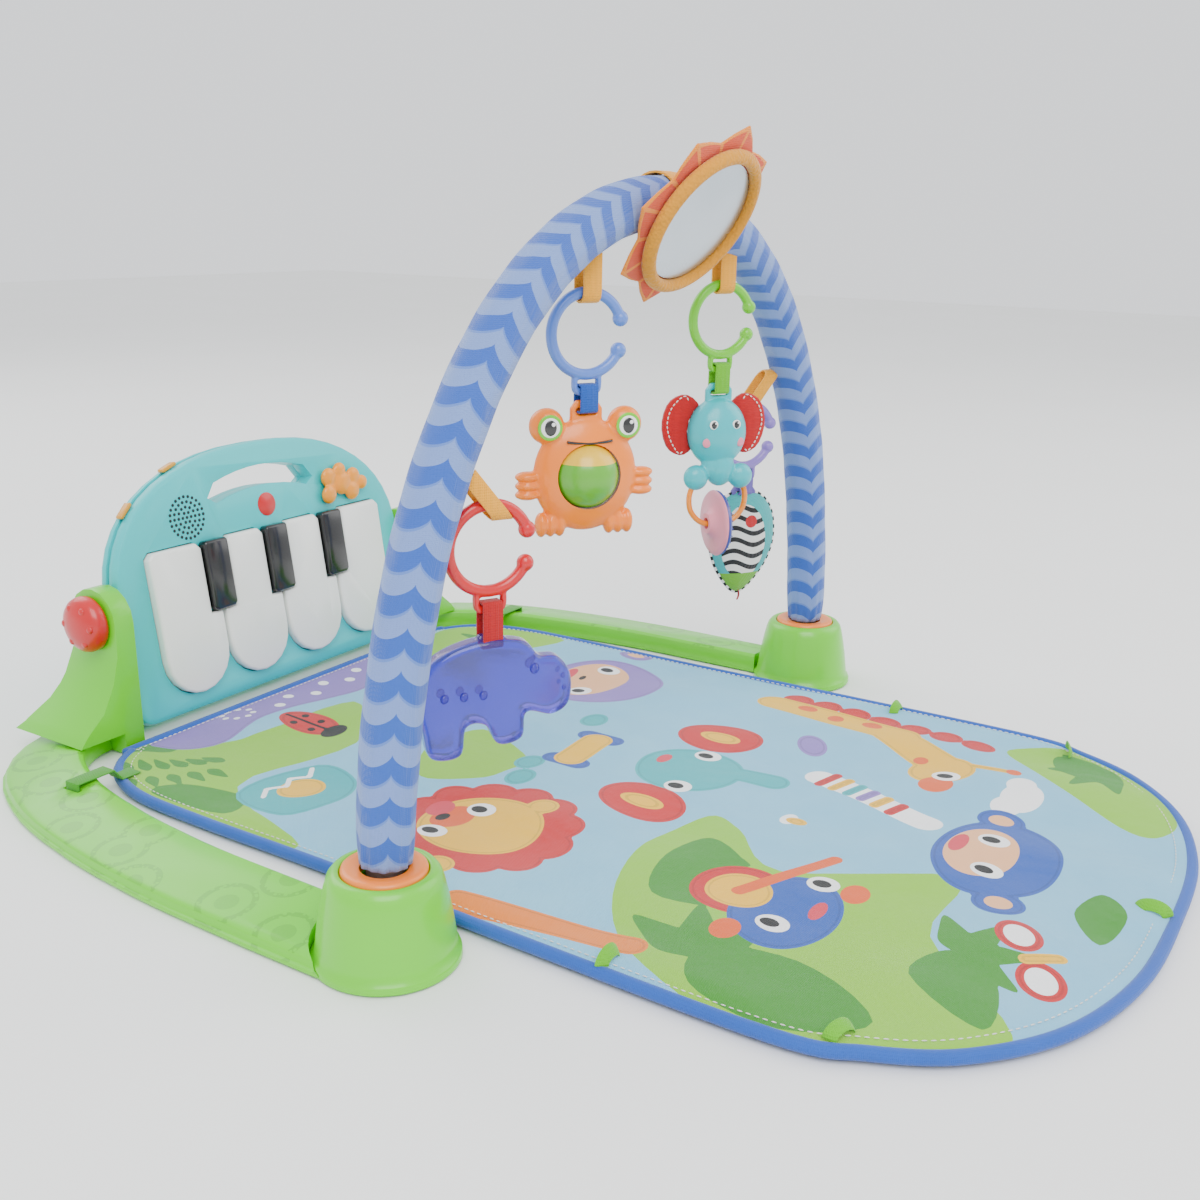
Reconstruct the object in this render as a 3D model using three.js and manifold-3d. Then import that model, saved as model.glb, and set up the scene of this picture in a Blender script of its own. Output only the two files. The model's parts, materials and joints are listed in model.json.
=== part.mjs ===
// Baby's activity play gym with a kick keyboard: a U-shaped floor base, a padded toy arch,
// a quilted mat, and a keyboard panel that tilts between two uprights.
// Millimetres, +Z up, X across, -Y is the open end of the mat and +Y the keyboard end.
// The origin is on the floor under the middle of the whole gym.
import * as THREE from "three";
import { mergeVertices } from "three/addons/utils/BufferGeometryUtils.js";
import Module from "manifold-3d";

const wasm = await Module();
wasm.setup();

// ---------------------------------------------------------------- driving dimensions
const GAP = 0.3; // clearance between pieces that touch
const DEG = Math.PI / 180;
const FRONT = 390; // tip of the mat, ahead of the arch
const REAR = 449; // heels of the uprights, behind the arch
const ARCH_Y = (FRONT - REAR) / 2; // plane of the arch
const FOOT_X = 300; // half the spacing of the feet
const FOOT_R = 45; // base of a foot
const FOOT_H = 57;
const ARCH_H = 431.5; // arch centreline above the floor
const TUBE_R = 11.5; // steel tube
const TUBE_WALL = 2;
const SLEEVE_R = 17.6; // padded sleeve
const SLEEVE_IN = 13.4;
const SLEEVE_FOOT = 60; // hem of the sleeve above the floor
const MAT_HALF = 250; // half width of the mat
const MAT_T = 9;
const MAT_FRONT = ARCH_Y - FRONT;
const MAT_BACK = 363 + ARCH_Y;
const RAIL_H = 17.5; // inner edge of a base rail
const BASE_BACK = 446 + ARCH_Y;
const PANEL_Y = 371 + ARCH_Y; // foot of the keyboard's face
const PANEL_LEAN = 9.1; // degrees back from upright
const PANEL_HALF = 170;
const PANEL_LOW = 12;
const PANEL_TOP = 227;
const PANEL_T = 23; // face to back
const SHELL = 2.6; // wall of the keyboard's shells
const SPLIT = 14; // depth of the front shell
const KEY_PITCH = 70.2;
const KEY_LOW = 27;
const KEY_TOP = 152;
const BLACK_LOW = 92;
const BLACK_HALF = 12.6;
const PIVOT_Y = 396 + ARCH_Y;
const PIVOT_Z = 106;
const UPRIGHT_IN = 173.4;
const UPRIGHT_OUT = 191.6;
const RING_R = 26.2; // centreline of a link ring
const RING_TUBE = 3.7;
const RING_YAW = -28; // degrees, the way the links hang
const TOY_YAW = -38;
const WEB = 1.4; // thickness of webbing
const WEB_W = 13;

// ---------------------------------------------------------------- finishes
const finish = (color, roughness, metalness = 0) =>
  new THREE.MeshStandardMaterial({ color, roughness, metalness });
const lime = () => finish(0x8fd61a, 0.38);
const aqua = () => finish(0x5ccfcf, 0.35);
const orange = () => finish(0xf79420, 0.4);

const gym = new THREE.Group();
gym.name = "play_gym";

function piece(name, geometry, material, parent = gym) {
  const mesh = new THREE.Mesh(geometry, material);
  mesh.name = name;
  parent.add(mesh);
  return mesh;
}

// ---------------------------------------------------------------- shape helpers
function solid(geometry) {
  const bare = new THREE.BufferGeometry();
  bare.setAttribute("position", geometry.getAttribute("position"));
  if (geometry.index) bare.setIndex(geometry.index);
  const merged = mergeVertices(bare, 1e-4);
  return new wasm.Manifold(
    new wasm.Mesh({
      numProp: 3,
      vertProperties: new Float32Array(merged.attributes.position.array),
      triVerts: new Uint32Array(merged.index.array),
    }),
  );
}

function skin(manifold) {
  const mesh = manifold.getMesh();
  const geometry = new THREE.BufferGeometry();
  geometry.setAttribute("position", new THREE.BufferAttribute(mesh.vertProperties, 3));
  geometry.setIndex(new THREE.BufferAttribute(mesh.triVerts, 1));
  return geometry;
}

const join = (...shapes) => shapes.map(solid).reduce((a, b) => a.add(b));
const at = (geometry, x, y, z) => geometry.translate(x, y, z);
const block = (w, d, h, x, y, z) => at(new THREE.BoxGeometry(w, d, h), x, y, z);
const ball = (r, x, y, z, across = 12, up = 8) => at(new THREE.SphereGeometry(r, across, up), x, y, z);
const egg = (rx, ry, rz, x, y, z, across = 16, up = 10) =>
  at(new THREE.SphereGeometry(1, across, up).scale(rx, ry, rz), x, y, z);
const outline = (points) => new THREE.Shape(points.map(([x, y]) => new THREE.Vector2(x, y)));
const smooth = (points, steps) =>
  new THREE.Shape(
    new THREE.CatmullRomCurve3(points.map(([x, y]) => new THREE.Vector3(x, y, 0)), true)
      .getPoints(steps)
      .slice(0, -1)
      .map((p) => new THREE.Vector2(p.x, p.y)),
  );

// A cylinder along Y, as for a bore through an upright plate.
const rodY = (r, length, x, y, z, sides = 24) =>
  at(new THREE.CylinderGeometry(r, r, length, sides), x, y, z);
const rodX = (r, length, x, y, z, sides = 20) =>
  at(new THREE.CylinderGeometry(r, r, length, sides).rotateZ(Math.PI / 2), x, y, z);

// A flat shape drawn in X and Z, from depth y0 to y1, with rounded edges when bevel is given.
function upright(shape, y0, y1, bevel = 0, curveSegments = 8) {
  const geometry = new THREE.ExtrudeGeometry(shape, {
    depth: y1 - y0 - 2 * bevel,
    bevelEnabled: bevel > 0,
    bevelThickness: bevel,
    bevelSize: bevel,
    bevelOffset: -bevel,
    bevelSegments: 2,
    curveSegments,
  });
  return geometry.rotateX(Math.PI / 2).translate(0, y1 - bevel, 0);
}

// A flat shape drawn in X and Y, from z0 to z1.
function flat(shape, z0, z1, bevel = 0, curveSegments = 8) {
  const geometry = new THREE.ExtrudeGeometry(shape, {
    depth: z1 - z0 - 2 * bevel,
    bevelEnabled: bevel > 0,
    bevelThickness: bevel,
    bevelSize: bevel,
    bevelOffset: -bevel,
    bevelSegments: 2,
    curveSegments,
  });
  return geometry.translate(0, 0, z0 + bevel);
}

function circle(r, sides, hole = 0) {
  const round = (radius) =>
    Array.from({ length: sides }, (_, i) => [
      radius * Math.cos((i * 2 * Math.PI) / sides),
      radius * Math.sin((i * 2 * Math.PI) / sides),
    ]);
  const shape = outline(round(r));
  if (hole) shape.holes.push(outline(round(hole)));
  return shape;
}

const stadium = (halfWidth, halfHeight, sides = 8) =>
  rounded(halfWidth, halfHeight, Math.min(halfWidth, halfHeight), sides);

// A rectangle with round corners.
function rounded(halfWidth, halfHeight, r, sides = 12) {
  const shape = new THREE.Shape();
  for (const [cx, cy, start] of [
    [halfWidth - r, halfHeight - r, 0],
    [r - halfWidth, halfHeight - r, 90],
    [r - halfWidth, r - halfHeight, 180],
    [halfWidth - r, r - halfHeight, 270],
  ])
    for (let i = 0; i <= sides / 4; i++) {
      const a = (start + (i * 360) / sides) * DEG;
      const x = cx + r * Math.cos(a);
      const y = cy + r * Math.sin(a);
      if (start === 0 && i === 0) shape.moveTo(x, y);
      else shape.lineTo(x, y);
    }
  return shape;
}

// ---------------------------------------------------------------- the arch's curve
// A rounded arch: half width and height with exponents a little over 2, t from 0 (left) to 1 (right).
function archPoint(angle) {
  const x = Math.sign(Math.cos(angle)) * FOOT_X * Math.abs(Math.cos(angle)) ** (2 / 2.05);
  return new THREE.Vector3(-x, ARCH_Y, ARCH_H * Math.sin(angle) ** (2 / 2.44));
}
const angleAtHeight = (z) => Math.asin((z / ARCH_H) ** (2.44 / 2));
const archHeight = (x) => ARCH_H * (1 - Math.abs(x / FOOT_X) ** 2.05) ** (1 / 2.44);

class ArchCurve extends THREE.Curve {
  constructor(from, to) {
    super();
    this.from = from;
    this.to = to;
  }
  getPoint(t) {
    return archPoint(this.from + (this.to - this.from) * t);
  }
}

function tubeAlong(curve, shape, steps) {
  return new THREE.ExtrudeGeometry(shape, { steps, extrudePath: curve, curveSegments: 1 });
}

// ---------------------------------------------------------------- base
const TIE_X = 277; // slots for the mat's ties
const TIE_Y = 290;
const railLine = (side) =>
  new THREE.CatmullRomCurve3(
    [
      [312, 0],
      [312, 90],
      [309, 180],
      [299, 262],
      [282, 330],
      [253, 385],
      [220, 409],
      [UPRIGHT_OUT + GAP, 415],
    ].map(([x, y]) => new THREE.Vector3(side * x, y + ARCH_Y, 0)),
  );

function railBody(side) {
  const section = [
    [-31, 0],
    [-31, 2.6],
    [-29, 3.4],
    [-28, 8],
    [-24, 10.5],
    [24, RAIL_H - 0.6],
    [28, RAIL_H - 2.5],
    [29.5, 0],
  ];
  // The sweep turns the section's first axis up and its second across the path.
  const shape = outline(section.map(([across, up]) => [-up, side * across]));
  return tubeAlong(railLine(side), shape, 26);
}

function upperRange(body, axis, low, high) {
  const size = 2000;
  const box = (centre) => {
    const place = [0, 0, 0];
    place[axis] = centre;
    return solid(block(size, size, size, ...place));
  };
  return body.subtract(box(low - size / 2)).subtract(box(high + size / 2));
}

function base(side, word) {
  const footX = side * FOOT_X;
  let rail = solid(railBody(side));
  const footSpace = new THREE.CylinderGeometry(FOOT_R + GAP, FOOT_R + GAP, 200, 40);
  rail = rail.subtract(solid(at(footSpace.rotateX(Math.PI / 2), footX, ARCH_Y, 50)));
  const stemEdge = side * (UPRIGHT_OUT + GAP);
  rail = side < 0 ? upperRange(rail, 0, -2000, stemEdge) : upperRange(rail, 0, stemEdge, 2000);
  rail = rail.subtract(solid(block(4.4, 17, 60, side * TIE_X, TIE_Y, 20)));
  piece(`rail_${word}`, skin(rail), lime());

  const footProfile = [
    [0, 0],
    [FOOT_R, 0],
    [FOOT_R, 4],
    [42.4, 5.6],
    [39.6, 24],
    [35.2, 47],
    [32.2, 54],
    [28.6, FOOT_H],
    [26.3, FOOT_H],
    [26.3, 51.7],
    [TUBE_R + 2.8, 51.7],
    [TUBE_R + 2.8, 12],
    [0, 12],
  ];
  const foot = new THREE.LatheGeometry(footProfile.map(([r, z]) => new THREE.Vector2(r, z)), 24);
  piece(`foot_${word}`, foot.rotateX(Math.PI / 2).translate(footX, ARCH_Y, 0), lime());

  const ringProfile = [
    [14.6, 52],
    [26, 52],
    [26, 56.4],
    [24.2, 58.6],
    [14.6, 58.6],
    [14.6, 52],
  ];
  const collar = new THREE.LatheGeometry(ringProfile.map(([r, z]) => new THREE.Vector2(r, z)), 24);
  piece(`collar_${word}`, collar.rotateX(Math.PI / 2).translate(footX, ARCH_Y, 0), orange());
}

// An upright stands beside the rail's end and spreads over it in a fin.
function uprightPost(side, word) {
  const y = (v) => v + ARCH_Y;
  const sideView = [[y(367), 0]];
  const topR = 27;
  for (let i = 0; i <= 8; i++) {
    const a = (180 - i * 22) * DEG;
    sideView.push([PIVOT_Y + topR * Math.cos(a), PIVOT_Z + topR * Math.sin(a)]);
  }
  sideView.push([y(422), 84], [y(429), 52], [y(443), 24], [y(REAR), 18], [y(REAR), 0]);
  const sideBody = new THREE.ExtrudeGeometry(outline(sideView), { depth: 80, bevelEnabled: false })
    .rotateX(Math.PI / 2)
    .rotateZ(Math.PI / 2)
    .translate(side > 0 ? 160 : -240, 0, 0);
  const seat = RAIL_H + GAP;
  const frontView = [
    [UPRIGHT_IN, 0],
    [UPRIGHT_OUT, 0],
    [UPRIGHT_OUT, seat],
    [233, seat],
    [226, 26],
    [209, 40],
    [198, 60],
    [UPRIGHT_OUT, 82],
    [UPRIGHT_OUT - 1.5, 140],
    [UPRIGHT_IN, 140],
  ].map(([x, z]) => [side * x, z]);
  const frontBody = upright(outline(frontView), ARCH_Y + 300, ARCH_Y + 500);
  const bore = rodX(4.4, 100, side * 190, PIVOT_Y, PIVOT_Z);
  const body = solid(sideBody).intersect(solid(frontBody)).subtract(solid(bore));
  piece(`upright_${word}`, skin(body), lime());
}

function knob(side, word) {
  const start = UPRIGHT_OUT + 0.6;
  const profile = [
    [0, -29],
    [3.9, -29],
    [3.9, 0],
    [20, 0],
    [22.4, 3],
    [22.4, 7],
    [20, 12],
    [14, 15.6],
    [0, 17],
  ];
  const shape = new THREE.LatheGeometry(profile.map(([r, z]) => new THREE.Vector2(r, z)), 20);
  shape.rotateZ(-Math.PI / 2);
  if (side < 0) shape.rotateZ(Math.PI);
  piece(`knob_${word}`, shape.translate(side * start, PIVOT_Y, PIVOT_Z), finish(0xd8232e, 0.35));
}

for (const [side, word] of [
  [-1, "left"],
  [1, "right"],
]) {
  base(side, word);
  uprightPost(side, word);
  knob(side, word);
}
const crossSection = outline([
  [405 + ARCH_Y, 0],
  [BASE_BACK, 0],
  [BASE_BACK, 9],
  [BASE_BACK - 5, 14],
  [410 + ARCH_Y, 17],
  [405 + ARCH_Y, 13],
]);
const crossLength = 2 * (UPRIGHT_IN - GAP);
const cross = new THREE.ExtrudeGeometry(crossSection, { depth: crossLength, bevelEnabled: false });
cross.rotateX(Math.PI / 2).rotateZ(Math.PI / 2).translate(-crossLength / 2, 0, 0);
piece("cross_member", cross, lime());

// ---------------------------------------------------------------- mat
const matEdge = [
  [0, MAT_FRONT],
  [86, MAT_FRONT + 4],
  [160, MAT_FRONT + 26],
  [213, MAT_FRONT + 66],
  [241, MAT_FRONT + 112],
  [255, MAT_FRONT + 160],
  [254, -100],
  [MAT_HALF, 60],
  [MAT_HALF, 190],
  [246, 262],
  [228, 306],
  [198, MAT_BACK - 5],
  [166, MAT_BACK],
];
const matOutline = [...matEdge, ...matEdge.slice(1).reverse().map(([x, y]) => [-x, y])];
piece("mat_pad", flat(smooth(matOutline, 52), 0, MAT_T, 2.5), finish(0x9fd3ea, 0.9));

function matTie(side, word) {
  const yMid = TIE_Y;
  const run = [
    [222, MAT_T + 1.2],
    [238, MAT_T + 1.2],
    [245, 19.6],
    [TIE_X + 0.7, 19.6],
    [TIE_X + 0.7, 6],
    [TIE_X - 0.7, 6],
    [TIE_X - 0.7, 18.6],
    [246, 18.6],
    [239, MAT_T + 0.4],
    [222, MAT_T + 0.4],
  ];
  const shape = outline(run.map(([x, z]) => [side * x, z]));
  piece(`mat_tie_${word}`, upright(shape, yMid - 7, yMid + 7), finish(0x6cb82a, 0.9));
}
matTie(-1, "left");
matTie(1, "right");

// ---------------------------------------------------------------- arch
const footAngle = angleAtHeight(13);
const middle = Math.PI / 2;
const hemAngle = angleAtHeight(SLEEVE_FOOT);
const steel = () => finish(0xb8bcc0, 0.4, 0.9);
const JOINT = 0.002; // half angle of the gap where the two tubes meet at the top
function archTube(word, from, to) {
  const tube = tubeAlong(new ArchCurve(from, to), circle(TUBE_R, 8, TUBE_R - TUBE_WALL), 12);
  piece(`arch_tube_${word}`, tube, steel());
}
archTube("left", footAngle, middle - JOINT);
archTube("right", middle + JOINT, Math.PI - footAngle);
const sleeveShape = circle(SLEEVE_R, 12, SLEEVE_IN);
const sleeveCurve = new ArchCurve(hemAngle, Math.PI - hemAngle);
piece("arch_sleeve", tubeAlong(sleeveCurve, sleeveShape, 32), finish(0x6f93d2, 0.9));

// ---------------------------------------------------------------- links, loops and straps
// Each hanging toy: where its loop is sewn, and where the link's top hangs.
const hangers = {
  red: { x: -217, y: ARCH_Y - 15, top: 264 },
  blue: { x: -91, y: ARCH_Y, top: 379 },
  green: { x: 99, y: ARCH_Y, top: 377 },
  purple: { x: 195, y: ARCH_Y + 21, top: 274 },
};
const linkColor = { red: 0xd9232f, blue: 0x7f9fdc, green: 0x7fd11c, purple: 0x9a86c8 };
const strapColor = { red: 0xc8202c, blue: 0x2f6fc0, green: 0x7cc52a, purple: 0x8d78bd };

// A webbing loop standing in Y and Z with its hole along X, between two heights.
function webLoop(low, high, halfDepth, corner = 3) {
  const mid = (low + high) / 2;
  const half = (high - low) / 2;
  const width = WEB_W;
  const shape = rounded(halfDepth, half, corner);
  shape.holes.push(rounded(halfDepth - WEB, half - WEB, corner - WEB));
  const loop = new THREE.ExtrudeGeometry(shape, { depth: width, bevelEnabled: false });
  return loop.rotateX(Math.PI / 2).rotateZ(Math.PI / 2).translate(-width / 2, 0, mid);
}

const TAB_Z = -2 * RING_R - 5.2; // middle of a link's slotted tab, below the top of its wire
const BAR_TOP = TAB_Z - 3.3; // the bar under the slot
const STRAP_TOP = BAR_TOP + WEB + 1.2;

// A link hangs from its top: a split ring with a bead at each end, and a slotted tab below.
function link() {
  const arc = new THREE.CatmullRomCurve3(
    Array.from({ length: 13 }, (_, i) => {
      const a = (24 + i * (308 / 12)) * DEG;
      return new THREE.Vector3(RING_R * Math.cos(a), 0, RING_R * Math.sin(a) - RING_R);
    }),
  );
  const ring = tubeAlong(arc, circle(RING_TUBE, 8), 15);
  const beads = [20, 334].map((a) =>
    ball(5.4, RING_R * Math.cos(a * DEG), 0, RING_R * Math.sin(a * DEG) - RING_R, 10, 6),
  );
  const tab = stadium(10.5, 8.5, 12);
  const slot = outline([
    [-7.4, -3.3],
    [7.4, -3.3],
    [7.4, 2.1],
    [-7.4, 2.1],
  ]);
  tab.holes.push(slot);
  const plate = upright(tab, -2.6, 2.6).translate(0, 0, TAB_Z);
  const body = join(ring, ...beads, plate);
  return skin(body);
}

function hangGroup(name, yaw, parent = gym) {
  const { x, y, top } = hangers[name];
  const group = new THREE.Group();
  group.position.set(x, y, top - RING_TUBE);
  group.rotation.z = yaw * DEG;
  parent.add(group);
  return group;
}

const LOOP_SLOPE = 0.8; // sideways run of a loop on a leg, for each millimetre of rise
const LOOP_REACH = 25; // how far such a loop rises to meet the sleeve
const sleeveSpace = solid(tubeAlong(sleeveCurve, circle(SLEEVE_R + GAP + 0.1, 12), 32));
for (const name of Object.keys(hangers)) {
  const { x, y, top } = hangers[name];
  // Each loop is sewn to the sleeve's skin and holds the link's wire; those on the legs slope out to it.
  const onLeg = Math.abs(x) > 150;
  const low = -2 * RING_TUBE - WEB - (onLeg ? 5 : 2);
  const slope = onLeg ? Math.sign(x) * LOOP_SLOPE : 0;
  const loop = webLoop(low, onLeg ? LOOP_REACH : archHeight(x) - top, 6.8, 6.8);
  loop.applyMatrix4(new THREE.Matrix4().set(1, 0, slope, 0, 0, 1, 0, 0, 0, 0, 1, 0, 0, 0, 0, 1));
  loop.translate(slope * RING_TUBE, 0, 0).rotateZ(RING_YAW * DEG).translate(x, y, top);
  piece(`loop_${name}`, skin(solid(loop).subtract(sleeveSpace)), finish(0xf6c445, 0.9));
  piece(`link_${name}`, link(), finish(linkColor[name], 0.35), hangGroup(name, RING_YAW));
}

// A strap: a long narrow loop round the link's bar and the toy's own bar.
function strap(name, length) {
  const loop = webLoop(STRAP_TOP - length, STRAP_TOP, 5.4, 2.4);
  piece(`strap_${name}`, loop, finish(strapColor[name], 0.9), hangGroup(name, RING_YAW));
}

// The lug at the top of a toy: a plate with a slot, drawn round the strap's lower end.
function lug(bottomOfStrap, drop, y0 = -2.4, y1 = 2.4) {
  const shape = outline([
    [-11, 0],
    [11, 0],
    [11, drop],
    [7, drop + 5.2],
    [-7, drop + 5.2],
    [-11, drop],
  ]);
  const low = drop - 4.4;
  shape.holes.push(
    outline([
      [-7.4, low],
      [7.4, low],
      [7.4, low + 4.4],
      [-7.4, low + 4.4],
    ]),
  );
  return upright(shape, y0, y1).translate(0, 0, bottomOfStrap - low - 1.2);
}

// ---------------------------------------------------------------- hippo teether
const HIPPO_STRAP = 29;
strap("red", HIPPO_STRAP);
const hippoTop = STRAP_TOP - HIPPO_STRAP;
const hippoShape = smooth(
  [
    [-12, 4],
    [10, 4],
    [22, 1],
    [30, -8],
    [42, -10],
    [50, -22],
    [49, -40],
    [38, -47],
    [22, -44],
    [19, -60],
    [4, -63],
    [-4, -50],
    [-16, -50],
    [-20, -68],
    [-38, -68],
    [-43, -50],
    [-47, -26],
    [-36, -6],
  ],
  54,
);
const hippoSide = solid(upright(hippoShape, -8, 8).translate(0, 0, hippoTop + 4.6));
const hippoLug = solid(lug(hippoTop, 8));
const strapSpace = (top) => solid(block(15.4, 60, 24, 0, 0, top + 10.8));
const hippo = hippoSide.subtract(strapSpace(hippoTop)).add(hippoLug);
piece("hippo_teether", skin(hippo), finish(0x4a3d9e, 0.15), hangGroup("red", TOY_YAW));

// ---------------------------------------------------------------- frog with roller ball
const FROG_STRAP = 19;
strap("blue", FROG_STRAP);
const frogLugZ = STRAP_TOP - FROG_STRAP;
const FROG_Z = frogLugZ - 41; // middle of the frog's body
const BALL_R = 22.5;
function frogShell(front) {
  const lump = (rx, ry, rz, x, z) => egg(rx, ry, rz, x, 0, FROG_Z + z, 10, 6);
  const parts = [
    egg(36, 12.5, 38, 0, 0, FROG_Z, 18, 8),
    lump(12, 9, 12, -27, 33),
    lump(12, 9, 12, 27, 33),
    lump(9, 7, 8, -39, -6),
    lump(9, 7, 8, 39, -6),
    lump(11, 7, 9, -23, -32),
    lump(11, 7, 9, 23, -32),
  ];
  let body = join(...parts);
  if (!front) body = body.add(solid(lug(frogLugZ, 16, 0, 2.6)));
  body = body.subtract(solid(egg(BALL_R + 1.6, BALL_R + 1.6, BALL_R + 1.6, 0, 0, FROG_Z, 16, 10)));
  body = body.subtract(solid(rodX(2.4, 62, 0, 0, FROG_Z, 8)));
  return front ? upperRange(body, 1, -2000, -GAP / 2) : upperRange(body, 1, GAP / 2, 2000);
}
const frogGroup = hangGroup("blue", TOY_YAW);
piece("frog_front", skin(frogShell(true)), finish(0xf9a81c, 0.3), frogGroup);
piece("frog_back", skin(frogShell(false)), finish(0xf9a81c, 0.3), frogGroup);
const roller = join(ball(BALL_R, 0, 0, FROG_Z, 16, 10), rodX(2, 54, 0, 0, FROG_Z, 8));
piece("frog_ball", skin(roller), finish(0x8cc63f, 0.3), frogGroup);

// ---------------------------------------------------------------- elephant with hoop and spinner
const ELEPHANT_STRAP = 24;
strap("green", ELEPHANT_STRAP);
const elephantGroup = hangGroup("green", TOY_YAW);
const headTop = STRAP_TOP - ELEPHANT_STRAP;
const HEAD_Z = headTop - 30;
const HAND_Z = HEAD_Z - 34;
const HOOP_DROP = 38;
const hoopLine = new THREE.CatmullRomCurve3(
  [
    [-20, 4],
    [-21.5, -6],
    [-24, -16],
    [-22, -27],
    [-13, -36],
    [0, -HOOP_DROP],
    [13, -36],
    [22, -27],
    [24, -16],
    [21.5, -6],
    [20, 4],
  ].map(([x, z]) => new THREE.Vector3(x, -6, HAND_Z + z)),
);
const head = join(
  egg(24, 17, 27, 0, 0, HEAD_Z, 18, 12),
  egg(12, 11, 15, 2, -3, HEAD_Z - 27, 12, 8),
  egg(10, 8, 10, -19, -6, HAND_Z, 10, 8),
  egg(10, 8, 10, 19, -6, HAND_Z, 10, 8),
  egg(14, 8, 12, 0, -4, HAND_Z + 8, 10, 6),
  lug(headTop, 8),
).subtract(solid(tubeAlong(hoopLine, circle(3, 6), 16)));
piece("elephant_head", skin(head), finish(0x4fc7cd, 0.3), elephantGroup);

// Fabric ears sit just behind the head, clear of it.
for (const [side, word] of [
  [-1, "left"],
  [1, "right"],
]) {
  const ear = smooth(
    [
      [side * 12, 14],
      [side * 24, 25],
      [side * 38, 20],
      [side * 44, 2],
      [side * 38, -17],
      [side * 26, -22],
      [side * 15, -12],
    ],
    22,
  );
  let body = solid(upright(ear, 4, 8.5, 1.2).translate(0, 0, HEAD_Z + 4));
  body = body.subtract(solid(egg(24.6, 17.6, 27.6, 0, 0, HEAD_Z, 18, 12)));
  body = body.subtract(solid(egg(10.6, 8.6, 10.6, side * 19, -6, HAND_Z, 10, 8)));
  piece(`elephant_ear_${word}`, skin(body), finish(0xd7262f, 0.9), elephantGroup);
}
piece("elephant_hoop", tubeAlong(hoopLine, circle(2.2, 8), 16), finish(0xf8a51e, 0.35), elephantGroup);

// Two discs threaded on the bottom of the hoop: a smooth pink one and a ribbed blue one.
const DISC_Z = HAND_Z - HOOP_DROP + 0.8;
function disc(profile, sides) {
  const shape = new THREE.LatheGeometry(profile.map(([r, x]) => new THREE.Vector2(r, x)), sides);
  return shape.rotateZ(-Math.PI / 2).translate(0, -6, DISC_Z);
}
const PINK = [
  [4.6, -8.4],
  [8, -8.4],
  [9.4, -6],
  [14, -3.6],
  [25, -2.4],
  [26, -1.2],
  [25.4, -0.2],
  [4.6, -0.2],
  [4.6, -8.4],
];
const BLUE = [
  [4.6, 0.2],
  [25, 0.2],
  [25.6, 1.6],
  [24, 3.2],
  [9, 4.6],
  [6.6, 7],
  [4.6, 7],
  [4.6, 0.2],
];
piece("spinner_pink", disc(PINK, 22), finish(0xf2a0b5, 0.4), elephantGroup);
piece("spinner_blue", disc(BLUE, 22), finish(0x5468b8, 0.4), elephantGroup);

// ---------------------------------------------------------------- zebra crinkle pad
const ZEBRA_STRAP = 19;
strap("purple", ZEBRA_STRAP);
const zebraTop = STRAP_TOP - ZEBRA_STRAP;
const zebraShape = smooth(
  [
    [0, 6],
    [18, 1],
    [29, -16],
    [30, -42],
    [19, -66],
    [-2, -84],
    [-20, -66],
    [-29, -42],
    [-28, -16],
    [-16, 1],
  ],
  36,
);
const zebraSide = solid(upright(zebraShape, -7, 7, 2.6).translate(0, 0, zebraTop + 2.6));
const zebra = zebraSide.subtract(strapSpace(zebraTop)).add(solid(lug(zebraTop, 8)));
piece("zebra_pad", skin(zebra), finish(0x58c8c8, 0.9), hangGroup("purple", TOY_YAW));

// ---------------------------------------------------------------- sun mirror
const MIRROR_TILT = 32; // degrees down
const MIRROR_UP = 6.8; // middle of the mirror above the arch, along its own face
const mirrorGroup = new THREE.Group();
mirrorGroup.position.set(0, ARCH_Y, ARCH_H);
mirrorGroup.rotation.z = -4 * DEG;
const mirrorTilt = new THREE.Group();
mirrorTilt.rotation.x = MIRROR_TILT * DEG;
mirrorGroup.add(mirrorTilt);
gym.add(mirrorGroup);
// Before the tilt the mirror faces -Y, with its middle straight in front of the arch.
const MIRROR_BACK = -(SLEEVE_R + WEB + 6.4);
const SUN_T = 6; // thickness of the sun
const sunPoints = Array.from({ length: 32 }, (_, i) => {
  const a = ((i * 360) / 32 - 5) * DEG;
  const r = [69, 62.5, 57.5, 62.5][i % 4];
  return [r * Math.cos(a), r * Math.sin(a)];
});
const sun = upright(outline(sunPoints), MIRROR_BACK - SUN_T, MIRROR_BACK, 1.5);
piece("sun_pad", sun.translate(0, 0, MIRROR_UP), orange(), mirrorTilt);
const rimFront = MIRROR_BACK - SUN_T - GAP;
const rimProfile = [
  [45, 0],
  [53, 0],
  [54.5, 3.5],
  [52.5, 7.6],
  [48.5, 9],
  [45.4, 7],
  [45, 0],
];
const rim = new THREE.LatheGeometry(rimProfile.map(([r, y]) => new THREE.Vector2(r, y)), 30);
rim.rotateX(Math.PI).translate(0, rimFront, MIRROR_UP);
piece("mirror_rim", rim, finish(0xe9b23c, 0.95), mirrorTilt);
const plateProfile = [
  [0, 0],
  [44.6, 0],
  [44.6, 3],
  [0, 3],
];
const plate = new THREE.LatheGeometry(plateProfile.map(([r, y]) => new THREE.Vector2(r, y)), 32);
plate.rotateX(Math.PI).translate(0, rimFront, MIRROR_UP);
piece("mirror_plate", plate, finish(0xe8eef2, 0.05, 1), mirrorTilt);
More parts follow.
